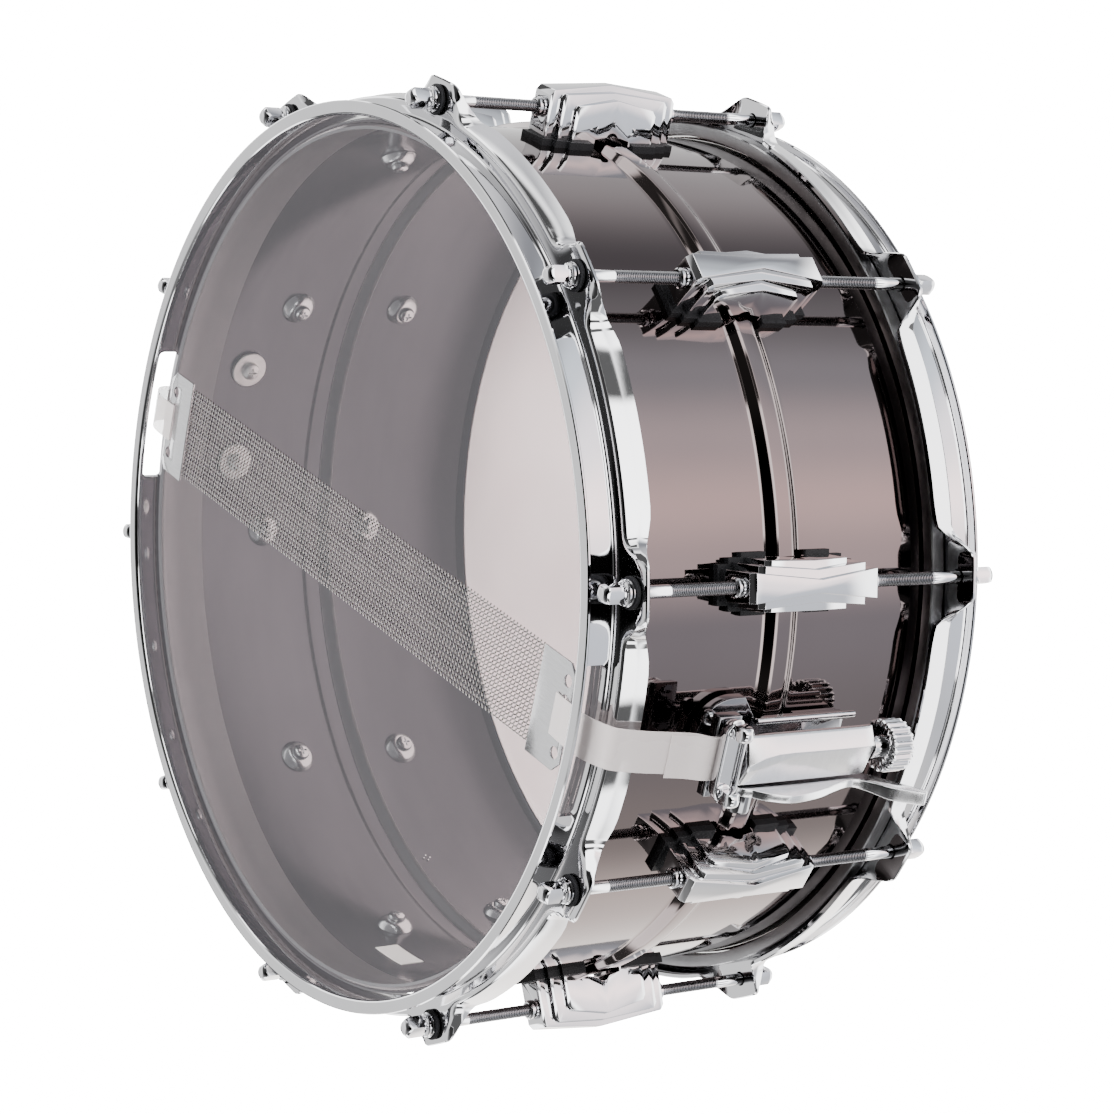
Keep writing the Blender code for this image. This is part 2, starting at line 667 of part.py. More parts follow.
def make_lever(material):
    """The throw-off lever beside the cover. Origin on its pivot."""
    bm = bmesh.new()
    extrude_outline(bm, lever_outline(), "Y", *LEVER_SIDE)
    place = (PIVOT_R, 0, MIDDLE_Z + PIVOT_Z)
    lever = finish_mesh("release_lever", bm, material, place)
    bm = bmesh.new()
    round_stack(bm, [(PIN_R + CLEARANCE, 0), (PIN_R + CLEARANCE, 20 * MM)], "Y")
    eye = finish_mesh("eye", bm, material, place)
    return combine(lever, [eye], "DIFFERENCE")


def make_lever_pin(material):
    """The pivot pin through the lever's eye, with a long round head."""
    bm = bmesh.new()
    start, shoulder, end = LEVER_SIDE[0] - 0.4 * MM, LEVER_SIDE[1] + CLEARANCE, 24.0 * MM
    profile = [(PIN_R, start), (PIN_R, shoulder), (4.6 * MM, shoulder), (4.6 * MM, end - MM), (3.8 * MM, end)]
    round_stack(bm, profile, "Y")
    return finish_mesh("lever_pin", bm, material, (PIVOT_R, 0, MIDDLE_Z + PIVOT_Z))


def make_strainer(chrome, dark_chrome):
    plate_thickness = 4.4 * MM
    make_strainer_base(dark_chrome)
    make_strainer_cover(chrome)
    make_knob(chrome)
    make_carriage(dark_chrome)
    make_clamp_plate("clamp_plate", STRAINER_SEAT_R, CLAMP_Z, plate_thickness, chrome)
    sizes = (STRAINER_SEAT_R, CLAMP_Z, plate_thickness, 6.8 * MM)
    make_clamp_screw("clamp_screw_left", *sizes, -CLAMP_SCREW_OFFSET, chrome)
    make_clamp_screw("clamp_screw_right", *sizes, CLAMP_SCREW_OFFSET, chrome)
    make_lever(chrome)
    make_lever_pin(chrome)
    for label, z in zip(("lower", "upper"), BASE_SCREW_HEIGHTS):
        make_shell_screw(f"strainer_screw_{label}", z, 7 * MM, chrome)


# --- butt


def make_butt(chrome, dark_chrome):
    """The fixed clamp opposite the strainer: a curved foot with a block on it, a plate and two screws."""
    foot_angles = [-10 + 2.5 * i for i in range(9)]
    foot = [(178.3 * MM, -54 * MM), (181.6 * MM, -54 * MM), (181.6 * MM, -36 * MM), (178.3 * MM, -36 * MM)]
    bm = bmesh.new()
    turn_profile(bm, foot, foot_angles, whole_circle=False)
    base = finish_mesh("butt_base", bm, dark_chrome, turn=180)
    half = CLAMP_HALF_WIDTH
    block = helper("block", lambda cut: add_box(cut, (180 * MM, BUTT_SEAT_R), (-half, half), BUTT_CLAMP_Z))
    block.rotation_euler.z = math.pi
    combine(base, [block], "UNION")
    cutters = []
    for side in (-1, 1):
        bm = bmesh.new()
        round_stack(bm, [(SCREW_HOLE_R, 170 * MM), (SCREW_HOLE_R, 190 * MM)], "X", (0, BUTT_SCREW_Z))
        cutters.append(finish_mesh("hole", bm, dark_chrome, turn=180 + side * BUTT_SCREW_ANGLE))
    holes = helper("clamp_holes", lambda cut: clamp_screw_holes(cut, BUTT_SEAT_R, BUTT_CLAMP_Z))
    holes.rotation_euler.z = math.pi
    combine(base, cutters + [holes], "DIFFERENCE")
    plate_thickness = 2.6 * MM
    make_clamp_plate("butt_clamp_plate", BUTT_SEAT_R, BUTT_CLAMP_Z, plate_thickness, chrome, turn=180)
    sizes = (BUTT_SEAT_R, BUTT_CLAMP_Z, plate_thickness, 3.8 * MM)
    for label, side in (("left", -1), ("right", 1)):
        make_clamp_screw(f"butt_clamp_screw_{label}", *sizes, side * CLAMP_SCREW_OFFSET, chrome, turn=180)
        angle = 180 + side * BUTT_SCREW_ANGLE
        make_shell_screw(f"butt_screw_{label}", BUTT_SCREW_Z, 5 * MM, chrome, turn=angle)


def main():
    clear_scene()
    chrome = make_material("chrome", (0.86, 0.86, 0.87), 0.06, 1.0)
    dark_chrome = make_material("shaded_chrome", (0.62, 0.62, 0.64), 0.12, 1.0)
    nickel = make_material("black_nickel", (0.20, 0.18, 0.18), 0.12, 1.0)
    aluminium = make_material("aluminium", (0.62, 0.62, 0.64), 0.35, 1.0)
    coated = make_material("coated_film", (0.90, 0.89, 0.88), 0.55, 0.0)
    clear = make_material("clear_film", (0.85, 0.87, 0.88), 0.10, 0.0, alpha=0.2)
    wire = make_material("wire_steel", (0.60, 0.60, 0.60), 0.25, 1.0)
    plate = make_material("plate_steel", (0.70, 0.70, 0.70), 0.22, 1.0)
    plastic = make_material("strap_plastic", (0.92, 0.90, 0.88), 0.40, 0.0)
    make_shell(nickel)
    make_head("batter_head", 1, coated)
    make_head("snare_side_head", -1, clear)
    make_flesh_hoop("batter_flesh_hoop", 1, aluminium)
    make_flesh_hoop("snare_flesh_hoop", -1, aluminium)
    make_hoop("batter_hoop", 1, chrome, gates=False)
    make_hoop("snare_hoop", -1, chrome, gates=True)
    make_lugs(chrome)
    make_rods(chrome)
    make_snares(wire, plate, plastic)
    make_strainer(chrome, dark_chrome)
    make_butt(chrome, dark_chrome)


main()
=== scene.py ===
"""Looks of the snare drum: fine meshes, materials, light and the camera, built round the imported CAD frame."""

import math

import bmesh
import bpy
from mathutils import Matrix, Vector


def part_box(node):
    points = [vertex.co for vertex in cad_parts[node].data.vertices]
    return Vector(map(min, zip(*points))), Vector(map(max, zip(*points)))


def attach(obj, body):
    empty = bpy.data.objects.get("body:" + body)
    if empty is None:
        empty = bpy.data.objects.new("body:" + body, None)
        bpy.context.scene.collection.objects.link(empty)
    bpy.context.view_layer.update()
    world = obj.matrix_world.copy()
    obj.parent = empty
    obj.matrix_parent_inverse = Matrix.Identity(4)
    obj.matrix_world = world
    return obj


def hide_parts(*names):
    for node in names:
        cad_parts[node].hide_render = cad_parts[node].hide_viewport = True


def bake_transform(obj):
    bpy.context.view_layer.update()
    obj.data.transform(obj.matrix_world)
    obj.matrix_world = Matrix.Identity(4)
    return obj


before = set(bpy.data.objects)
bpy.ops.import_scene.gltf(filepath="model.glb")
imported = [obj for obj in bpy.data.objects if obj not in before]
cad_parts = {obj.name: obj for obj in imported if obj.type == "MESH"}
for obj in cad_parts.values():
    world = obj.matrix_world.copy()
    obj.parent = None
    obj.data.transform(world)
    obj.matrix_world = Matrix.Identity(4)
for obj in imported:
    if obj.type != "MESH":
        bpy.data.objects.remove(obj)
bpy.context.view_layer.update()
MM = 0.001

# The drum's middle plane, from the shell's box. Heights below are measured from it unless they say otherwise.
SHELL_LOW, SHELL_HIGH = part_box("shell")
MIDDLE_Z = (SHELL_LOW.z + SHELL_HIGH.z) / 2
# Ten rods evenly round the drum, in degrees, with the strainer on +X half way between two.
ROD_STEP = 36
HALF_STEP = ROD_STEP // 2
ROD_ANGLES = [HALF_STEP + ROD_STEP * i for i in range(10)]
# Radii and heights in millimetres that several pieces share.
ROD_R = 191.5
SHELL_R = 177.8
BEAD_R = 181.0
HEAD_FACE_Z = 83.25
EAR_FACE_Z = 78.3
EAR_UNDER_Z = 76.1
SIDES = (("batter", 1), ("snare", -1))


def new_object(name, data):
    item = bpy.data.objects.new(name, data)
    bpy.context.scene.collection.objects.link(item)
    return item


# --- camera, light and stage


# The lens: its place from the drum's middle, in metres, and the picture's right and down directions.
SENSOR_WIDTH = 36
LENS_LENGTH = 91.55
LENS_PLACE = (0.92731, -0.39153, -0.66354)
PICTURE_RIGHT = Vector((0.53219, -0.18226, 0.82677))
PICTURE_DOWN = Vector((0.37039, 0.92826, -0.03379))


def make_camera():
    data = bpy.data.cameras.new("camera")
    data.sensor_width = SENSOR_WIDTH
    data.lens = LENS_LENGTH
    data.clip_start = 0.05
    camera = new_object("camera", data)
    forward = PICTURE_RIGHT.cross(PICTURE_DOWN)
    turn = Matrix((PICTURE_RIGHT, -PICTURE_DOWN, -forward)).transposed().to_4x4()
    x, y, z = LENS_PLACE
    camera.matrix_world = Matrix.Translation((x, y, z + MIDDLE_Z)) @ turn
    bpy.context.scene.camera = camera


def give(tree, target, value):
    """Sets an input to a value, or joins it to a socket."""
    if isinstance(value, bpy.types.NodeSocket):
        tree.links.new(value, target)
    else:
        target.default_value = value


def new_node(tree, kind, **values):
    """A node with some of its named inputs given."""
    node = tree.nodes.new(f"ShaderNode{kind}")
    for name, value in values.items():
        give(tree, node.inputs[name.replace("_", " ")], value)
    return node


# The studio's brightness by direction round the drum's axis: degrees, then one grey level or three of colour.
UPPER_TONES = [(-180, 1.5, 1.5, 1.5), (-135, 1.3, 1.3, 1.35), (-104, 0.42, 0.43, 0.47),
               (-85, 0.85, 0.9, 0.97), (-69, 1.4, 1.5, 1.65), (-50, 2.7, 2.5, 2.6), (-33, 3.9, 3.2, 3.15),
               (-18, 2.8, 2.5, 2.55), (0, 1.2, 1.25, 1.38), (30, 1.0, 1.02, 1.08), (60, 1.3, 1.27, 1.25),
               (85, 3.2, 3.0, 2.85), (120, 4.1, 3.9, 3.7), (150, 1.9, 1.9, 1.85), (180, 1.5, 1.5, 1.5)]
HORIZON_TONES = [(-180, 3.4), (-130, 4.6), (-95, 4.0), (-60, 6.0), (-20, 6.5), (20, 5.6), (60, 4.6),
                 (100, 5.6), (140, 4.0), (180, 3.4)]
LOWER_TONES = [(-180, 1.3), (-150, 1.7), (-125, 1.0), (-105, 0.10), (-60, 0.06), (30, 0.06), (75, 0.30),
               (105, 1.3), (150, 1.3), (180, 1.3)]
CAP_LEVEL = 5.0
# Heights, as sines, between which each band gives way to the next one up.
HORIZON_RISE = (-0.32, -0.20)
UPPER_RISE = (0.24, 0.36)
CAP_RISE = (0.74, 0.84)
# Azimuths of the upright dark cards that stand round the horizon: middle, half-width, both in degrees.
CARDS = [(-150, 9), (-112, 12), (-62, 5), (-15, 7), (22, 9), (64, 10), (98, 4), (140, 12)]
CARD_SOFTNESS = 3
CARD_DEPTH = 0.97
CARD_FALL = (0.24, 0.30)
# The brightest level a colour ramp can stand for, and the white ground that only the lens sees.
TONE_TOP = 7.0
GROUND_LEVEL = 20.0
# Round dark cards: direction, then the cosines where each is fully dark and where it ends, and its depth.
FLAGS = [((0.76, -0.32, -0.56), 0.95, 0.86, 0.98), ((0.0, 0.0, 1.0), 0.962, 0.948, 0.95)]


def maths(tree, operation, first, second):
    node = new_node(tree, "Math")
    node.operation = operation
    give(tree, node.inputs[0], first)
    give(tree, node.inputs[1], second)
    return node.outputs[0]


def tone_ramp(tree, azimuth, tones):
    ramp = new_node(tree, "ValToRGB", Fac=azimuth)
    elements = ramp.color_ramp.elements
    ramp.color_ramp.interpolation = "EASE"
    while len(elements) < len(tones):
        elements.new(0.5)
    for element, (degrees, *levels) in zip(elements, tones):
        element.position = (degrees + 180) / 360
        colour = levels if len(levels) == 3 else levels * 3
        element.color = (*(level / TONE_TOP for level in colour), 1)
    return ramp.outputs["Color"]


def inverse(tree, value):
    return maths(tree, "SUBTRACT", 1, value)


def place_in(tree, space):
    return new_node(tree, "TexCoord").outputs[space]


def soft_step(tree, value, low, high):
    """Rises smoothly from 0 at low to 1 at high."""
    ramp = new_node(tree, "MapRange", Value=value, From_Min=low, From_Max=high)
    ramp.interpolation_type = "SMOOTHSTEP"
    return ramp.outputs["Result"]


def lobe(tree, direction, inner, outer):
    """1 inside a cone of directions, falling smoothly to 0. Cosines bound the soft edge."""
    dot = new_node(tree, "VectorMath")
    dot.operation = "DOT_PRODUCT"
    dot.inputs[1].default_value = Vector(direction).normalized()
    tree.links.new(place_in(tree, "Generated"), dot.inputs[0])
    return soft_step(tree, dot.outputs["Value"], outer, inner)


def mixed(tree, share, first, second):
    mix = new_node(tree, "Mix")
    mix.data_type = "RGBA"
    tree.links.new(share, mix.inputs["Factor"])
    tree.links.new(first, mix.inputs["A"])
    tree.links.new(second, mix.inputs["B"])
    return mix.outputs["Result"]


def studio_tones(tree, azimuth, height):
    """The studio's colour by direction: a lower, a horizon and an upper band, and a cap."""
    cap = new_node(tree, "RGB")
    cap.outputs[0].default_value = (*[CAP_LEVEL / TONE_TOP] * 3, 1)
    above = soft_step(tree, height, *HORIZON_RISE)
    tones = mixed(tree, above, tone_ramp(tree, azimuth, LOWER_TONES), tone_ramp(tree, azimuth, HORIZON_TONES))
    tones = mixed(tree, soft_step(tree, height, *UPPER_RISE), tones, tone_ramp(tree, azimuth, UPPER_TONES))
    return mixed(tree, soft_step(tree, height, *CAP_RISE), tones, cap.outputs[0])


def darkened(tree, level, share, depth):
    return maths(tree, "MULTIPLY", level, inverse(tree, maths(tree, "MULTIPLY", share, depth)))


def card_level(tree, turn, height):
    """1 in the open, and close to 0 where a dark card stands."""
    near_horizon = inverse(tree, soft_step(tree, maths(tree, "ABSOLUTE", height, 0), *CARD_FALL))
    level = 1.0
    for middle, half in CARDS:
        apart = maths(tree, "ABSOLUTE", maths(tree, "SUBTRACT", turn, math.radians(middle)), 0)
        edge = soft_step(tree, apart, math.radians(half), math.radians(half + CARD_SOFTNESS))
        card = maths(tree, "MULTIPLY", near_horizon, inverse(tree, edge))
        level = darkened(tree, level, card, CARD_DEPTH)
    for direction, inner, outer, depth in FLAGS:
        level = darkened(tree, level, lobe(tree, direction, inner, outer), depth)
    return level


def make_world():
    """A studio that the lens sees as plain white. Reflections see its panels, and dark gaps between them."""
    world = bpy.data.worlds.new("studio")
    bpy.context.scene.world = world
    world.use_nodes = True
    tree = world.node_tree
    tree.nodes.clear()
    parts = new_node(tree, "SeparateXYZ", Vector=place_in(tree, "Generated"))
    height = parts.outputs["Z"]
    turn = maths(tree, "ARCTAN2", parts.outputs["Y"], parts.outputs["X"])
    azimuth = maths(tree, "ADD", maths(tree, "MULTIPLY", turn, 1 / (2 * math.pi)), 0.5)
    seen = new_node(tree, "Background", Color=(1, 1, 1, 1), Strength=GROUND_LEVEL)
    level = maths(tree, "MULTIPLY", card_level(tree, turn, height), TONE_TOP)
    reflected = new_node(tree, "Background", Color=studio_tones(tree, azimuth, height), Strength=level)
    mix = new_node(tree, "MixShader", Fac=new_node(tree, "LightPath").outputs["Is Camera Ray"])
    tree.links.new(reflected.outputs[0], mix.inputs[1])
    tree.links.new(seen.outputs[0], mix.inputs[2])
    new_node(tree, "OutputWorld", Surface=mix.outputs[0])


# Soft boxes, which reflections don't see: name, place and side in metres, power in watts.
SOFT_BOXES = [("key", (1.6, -0.9, 0.5), 1.4, 26), ("fill", (0.1, -0.5, -1.5), 0.9, 95),
              ("back", (-1.4, 0.9, 0.8), 1.2, 16)]
FLOOR_HALF = 30.0
FLOOR_Z = -1.6


def area_light(name, place, side, power):
    """A square light that faces the drum's middle."""
    data = bpy.data.lights.new(name, "AREA")
    data.shape = "RECTANGLE"
    data.size, data.size_y = side, side
    data.energy = power
    light = new_object(name, data)
    light.location = place
    light.visible_glossy = False
    light.rotation_euler = (Vector((0, 0, MIDDLE_Z)) - Vector(place)).to_track_quat("-Z", "Y").to_euler()


def make_stage():
    """A pale floor well below the drum and the lens, and three soft boxes."""
    mesh = bpy.data.meshes.new("floor")
    corners = [(x * FLOOR_HALF, y * FLOOR_HALF, FLOOR_Z) for x, y in ((-1, -1), (1, -1), (1, 1), (-1, 1))]
    mesh.from_pydata(corners, [], [(0, 1, 2, 3)])
    floor = new_object("floor", mesh)
    mesh.materials.append(plain_finish("floor_paper", (0.90, 0.90, 0.90), 0.8, 0.01, 40))
    floor.visible_glossy = False
    floor.visible_diffuse = False
    for soft_box in SOFT_BOXES:
        area_light(*soft_box)


# --- materials


# Metals: name, colour, roughness range, noise scale, stretch, relief and colour variation.
EVEN = (1, 1, 1)
ROUND_THE_DRUM = (1, 1, 5)
METALS = {
    "chrome": ("chrome", (0.70, 0.70, 0.715), (0.025, 0.06), 45),
    "cover_chrome": ("cover_chrome", (0.80, 0.80, 0.81), (0.17, 0.26), 120, (1, 1, 6), 0.02, 0.04),
    # The next finish is painted shade: chrome with a darkened colour, on the strainer's foot, jaw, pivot pin
    # and rivets and on the butt block.
    "shaded_chrome": ("shaded_chrome", (0.24, 0.24, 0.25), (0.05, 0.12), 80),
    "nickel": ("black_nickel", (0.160, 0.132, 0.130), (0.03, 0.07), 18, EVEN, 0.012),
    # The next finish is painted light: a paler copy of the inside's satin metal, put on the bead's lower flank
    # and the lower edge.
    "inside_painted_light": ("shell_edge", (0.24, 0.235, 0.245), (0.42, 0.5), 26, ROUND_THE_DRUM, 0.004, 0.06),
    "aluminium": ("flesh_aluminium", (0.42, 0.42, 0.43), (0.28, 0.42), 90, ROUND_THE_DRUM, 0.05, 0.12),
    "rod": ("rod_steel", (0.80, 0.80, 0.82), (0.05, 0.12), 220),
    "thread": ("thread_steel", (0.36, 0.36, 0.375), (0.18, 0.30), 400, EVEN, 0.03, 0.12),
    "screw": ("screw_steel", (0.80, 0.81, 0.82), (0.14, 0.26), 260, EVEN, 0.05),
    "washer": ("pale_washer", (0.84, 0.84, 0.82), (0.34, 0.46), 300, EVEN, 0.06),
    "wire": ("wire_steel", (0.84, 0.82, 0.80), (0.08, 0.14), 300),
    # The next finish is painted shade: a dark copy of the wire steel, on the side of each coil that lies by the
    # film.
    "wire_shade": ("wire_shade", (0.045, 0.042, 0.04), (0.2, 0.3), 300),
    "plate": ("plate_steel", (0.76, 0.76, 0.775), (0.14, 0.24), 150, (1, 8, 1), 0.05, 0.06),
}
# Every finish by its key, which for some finishes differs from the material's name.
FINISHES = {}
# Heights in millimetres between which painted shade darkens the shell's inner wall, and how far.
INSIDE_PAINTED_SHADE_SPAN = (50, 74)
INSIDE_PAINTED_SHADE_DEPTH = 0.35


def new_material(name):
    material = bpy.data.materials.new(name)
    material.use_nodes = True
    tree = material.node_tree
    shader = tree.nodes["Principled BSDF"]
    return material, tree, shader


def noise(tree, scale, detail=3.0, stretch=EVEN):
    """A noise value in object space."""
    mapping = new_node(tree, "Mapping", Vector=place_in(tree, "Object"), Scale=stretch)
    return new_node(tree, "TexNoise", Vector=mapping.outputs[0], Scale=scale, Detail=detail).outputs["Fac"]


def roughen(tree, shader, value, low, high):
    """Roughness between two values, by a noise value."""
    ramp = new_node(tree, "MapRange", Value=value, From_Min=0.3, From_Max=0.7, To_Min=low, To_Max=high)
    tree.links.new(ramp.outputs["Result"], shader.inputs["Roughness"])


def tint(tree, shader, value, dark, light, target="Base Color"):
    """A colour between two close colours, by a noise value."""
    ramp = new_node(tree, "ValToRGB", Fac=value)
    for element, position, colour in zip(ramp.color_ramp.elements, (0.35, 0.65), (dark, light)):
        element.position = position
        element.color = (*colour, 1)
    tree.links.new(ramp.outputs["Color"], shader.inputs[target])


def bump(tree, shader, value, strength, distance):
    node = new_node(tree, "Bump", Strength=strength, Distance=distance, Height=value)
    tree.links.new(node.outputs["Normal"], shader.inputs["Normal"])


def shaded(colour, factor):
    return tuple(c * factor for c in colour)


def metal_finish(name, colour, rough, spots, stretch=EVEN, relief=0.02, variation=0.04):
    """Plated or bare metal: cloudy roughness, faint colour drift and a very fine surface."""
    material, tree, shader = new_material(name)
    shader.inputs["Metallic"].default_value = 1.0
    cloud = noise(tree, spots, 4, stretch)
    tint(tree, shader, cloud, shaded(colour, 1 - variation), colour)
    roughen(tree, shader, noise(tree, spots * 2.3, 5, stretch), *rough)
    bump(tree, shader, noise(tree, spots * 14, 2, stretch), relief, 0.0001)
    return material


def inside_finish(name, colour, rough):
    """The shell's satin inner wall, darkened by painted shade over its last stretch before the batter head."""
    material, tree, shader = new_material(name)
    shader.inputs["Metallic"].default_value = 1.0
    place = new_node(tree, "SeparateXYZ", Vector=place_in(tree, "Object"))
    low, high = (z * MM for z in INSIDE_PAINTED_SHADE_SPAN)
    painted_shade_share = maths(tree, "MULTIPLY", soft_step(tree, place.outputs["Z"], low, high), 0.3)
    cloud = maths(tree, "ADD", maths(tree, "MULTIPLY", noise(tree, 26, 4, ROUND_THE_DRUM), 0.15), 0.29)
    tint(tree, shader, maths(tree, "ADD", cloud, painted_shade_share), colour, shaded(colour, INSIDE_PAINTED_SHADE_DEPTH))
    roughen(tree, shader, noise(tree, 60, 5, ROUND_THE_DRUM), *rough)
    return material


def plain_finish(name, colour, rough, relief, scale, specular=0.5):
    """Paper, rubber or plastic: a slightly uneven colour and a fine grain."""
    material, tree, shader = new_material(name)
    shader.inputs["Specular IOR Level"].default_value = specular
    tint(tree, shader, noise(tree, scale, 4), shaded(colour, 0.94), colour)
    roughen(tree, shader, noise(tree, scale * 3, 4), rough * 0.85, rough * 1.1)
    bump(tree, shader, noise(tree, scale * 9, 3), relief, 0.0005)
    return material


def strap_finish(name, colour, alpha, rough):
    """Translucent plastic: partly seen through, with a faint unevenness."""
    material, tree, shader = new_material(name)
    shader.inputs["Alpha"].default_value = alpha
    tint(tree, shader, noise(tree, 9, 3), shaded(colour, 0.96), colour)
    roughen(tree, shader, noise(tree, 30, 4), rough * 0.7, rough * 1.3)
    bump(tree, shader, noise(tree, 14, 2), 0.02, 0.001)
    return material


def clear_finish(name, haze, alpha):
    """Clear film: almost unseen, with a faint haze given as light of its own, so that it carries no grain."""
    material, tree, shader = new_material(name)
    shader.inputs["Base Color"].default_value = (0, 0, 0, 1)
    shader.inputs["Specular IOR Level"].default_value = 0
    shader.inputs["Alpha"].default_value = alpha
    shader.inputs["Emission Strength"].default_value = 1
    tint(tree, shader, noise(tree, 9, 3), shaded(haze, 0.93), haze, "Emission Color")
    return material


def coated_finish(name):
    """Sprayed head coating: a gritty white surface, thinner in places."""
    material, tree, shader = new_material(name)
    tint(tree, shader, noise(tree, 22, 6), (0.82, 0.65, 0.64), (0.88, 0.71, 0.70))
    roughen(tree, shader, noise(tree, 160, 4), 0.5, 0.7)
    bump(tree, shader, noise(tree, 1300, 3), 0.35, 0.0003)
    return material


def make_finishes():
    for key, values in METALS.items():
        FINISHES[key] = metal_finish(*values)
    FINISHES["inside"] = inside_finish("shell_inside", (0.084, 0.082, 0.091), (0.12, 0.17))
    FINISHES["coated"] = coated_finish("coated_film")
    FINISHES["clear"] = clear_finish("clear_film", (0.78, 0.76, 0.81), 0.09)
    FINISHES["strap"] = strap_finish("strap_plastic", (0.60, 0.55, 0.54), 0.66, 0.30)
    FINISHES["rubber"] = plain_finish("black_rubber", (0.008, 0.008, 0.009), 0.6, 0.1, 90, 0.15)
    FINISHES["paper"] = plain_finish("paper_label", (0.72, 0.68, 0.64), 0.7, 0.1, 60)


# --- mesh tools


def paint(mesh, *keys):
    for key in keys:
        mesh.materials.append(FINISHES[key])


def add_piece(name, mesh, finish, node=None, matrix=None, body="root"):
    """Adds a piece on a body, painted in its finish unless its mesh has materials already, in place of a CAD
    node where one is given.
    """
    piece = new_object(name, mesh)
    if not mesh.materials:
        paint(mesh, finish)
    piece.matrix_world = matrix or around(0)
    if body:
        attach(piece, body)
    if node:
        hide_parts(node)
    return piece


def mesh_from(name, bm, sharp=32):
    bmesh.ops.recalc_face_normals(bm, faces=bm.faces)
    mesh = bpy.data.meshes.new(name)
    bm.to_mesh(mesh)
    bm.free()
    mesh.shade_smooth()
    mesh.set_sharp_from_angle(angle=math.radians(sharp))
    return mesh


def modified(mesh, name, *settings, sharp=32):
    """The mesh after modifiers, each a (type, {setting: value})."""
    temporary = new_object("temporary", mesh)
    for kind, values in settings:
        modifier = temporary.modifiers.new(kind, kind)
        for key, value in values.items():
            setattr(modifier, key, value)
    bpy.context.view_layer.update()
    graph = bpy.context.evaluated_depsgraph_get()
    result = bpy.data.meshes.new_from_object(temporary.evaluated_get(graph))
    result.name = name
    bpy.data.objects.remove(temporary, do_unlink=True)
    result.shade_smooth()
    result.set_sharp_from_angle(angle=math.radians(sharp))
    return result


def boolean(mesh, others, operation, name):
    """Cuts or joins meshes that lie in the same space."""
    helpers = [new_object("helper", other) for other in others]
    steps = [("BOOLEAN", {"object": helper, "operation": operation, "solver": "EXACT"}) for helper in helpers]
    result = modified(mesh, name, *steps)
    for helper in helpers:
        bpy.data.objects.remove(helper, do_unlink=True)
    return result


def rounded(mesh, width, segments=2, name=None, angle=28):
    """The mesh with its edges bevelled, by a width in millimetres."""
    values = {"width": width * MM, "segments": segments, "limit_method": "ANGLE"}
    values["angle_limit"] = math.radians(angle)
    return modified(mesh, name or mesh.name, ("BEVEL", values), sharp=50)


def metres(points):
    """Points in millimetres, as metres."""
    return [tuple(c * MM for c in point) for point in points]


def join_rings(bm, rings, closed):
    """Faces between rings. Closed joins the last to the first; otherwise both ends are capped."""
    count = len(rings[0])
    pairs = list(zip(rings, rings[1:]))
    if closed:
        pairs.append((rings[-1], rings[0]))
    for first, second in pairs:
        for i in range(count):
            j = (i + 1) % count
            bm.faces.new((first[i], first[j], second[j], second[i]))
    if not closed:
        bm.faces.new(rings[0])
        bm.faces.new(rings[-1])


def stacked(name, rings, sharp=32):
    """A closed solid through rings of points in metres."""
    bm = bmesh.new()
    join_rings(bm, [[bm.verts.new(point) for point in ring] for ring in rings], closed=False)
    return mesh_from(name, bm, sharp)


def axis_point(axis, along, first, second):
    """A point at a place along the named axis and two across it."""
    return {"X": (along, first, second), "Y": (first, along, second), "Z": (first, second, along)}[axis]


def circle(radius, count, centre=(0, 0)):
    turns = [2 * math.pi * i / count for i in range(count)]
    return [(centre[0] + radius * math.cos(t), centre[1] + radius * math.sin(t)) for t in turns]


def pin(name, profile, axis, centre=(0, 0), segments=32, sharp=32):
    """A turned piece from (radius, place along the axis) pairs in millimetres."""
    rings = []
    for radius, along in profile:
        ring = circle(radius * MM, segments, (centre[0] * MM, centre[1] * MM))
        rings.append([axis_point(axis, along * MM, a, b) for a, b in ring])
    return stacked(name, rings, sharp)


def prism(name, outline, axis, low, high):
    """An extruded outline, in millimetres."""
    rings = [[axis_point(axis, along * MM, a * MM, b * MM) for a, b in outline] for along in (low, high)]
    return stacked(name, rings)


def block(name, x, y, z):
    """A box from its (low, high) limits in millimetres."""
    return prism(name, [(x[0], y[0]), (x[1], y[0]), (x[1], y[1]), (x[0], y[1])], "Z", z[0], z[1])


def slotted_screw(name, profile, segments, depth, reach, half):
    """A turned screw along X with crossed slots of a given reach and half-width."""
    long, short = (-reach, reach), (-half, half)
    slots = [block("slot", depth, long, short), block("slot", depth, short, long)]
    return boolean(pin("head", profile, "X", segments=segments), slots, "DIFFERENCE", name)


def arc(centre, radius, start, end, count):
    """Points along an arc, between two angles in degrees."""
    points = []
    for i in range(count):
        c, s = cos_sin(start + (end - start) * i / (count - 1))
        points.append((centre[0] + radius * c, centre[1] + radius * s))
    return points


UPSIDE_DOWN = Matrix.Rotation(math.pi, 4, "X")


def around(angle, z=0.0):
    """Places a piece that is drawn on +X at another angle round the drum."""
    return Matrix.Translation((0, 0, MIDDLE_Z + z)) @ Matrix.Rotation(math.radians(angle), 4, "Z")


def cos_sin(degrees):
    angle = math.radians(degrees)
    return math.cos(angle), math.sin(angle)


def smoothstep(value):
    value = min(max(value, 0.0), 1.0)
    return value * value * (3 - 2 * value)


def swept(name, outlines, closed, side=1, sharp=32):
    """A solid through (radius, height) outlines in millimetres, each at a turn in radians round the axis."""
    bm = bmesh.new()
    rings = []
    for turn, outline in outlines:
        c, s = math.cos(turn), math.sin(turn)
        rings.append([bm.verts.new((r * MM * c, r * MM * s, side * z * MM)) for r, z in outline])
    join_rings(bm, rings, closed)
    return mesh_from(name, bm, sharp)


def turned_ring(name, profile, side=1, steps=240):
    """A closed (radius, height) outline turned about the drum's axis."""
    return swept(name, [(2 * math.pi * i / steps, profile) for i in range(steps)], True, side)


# --- shell and heads


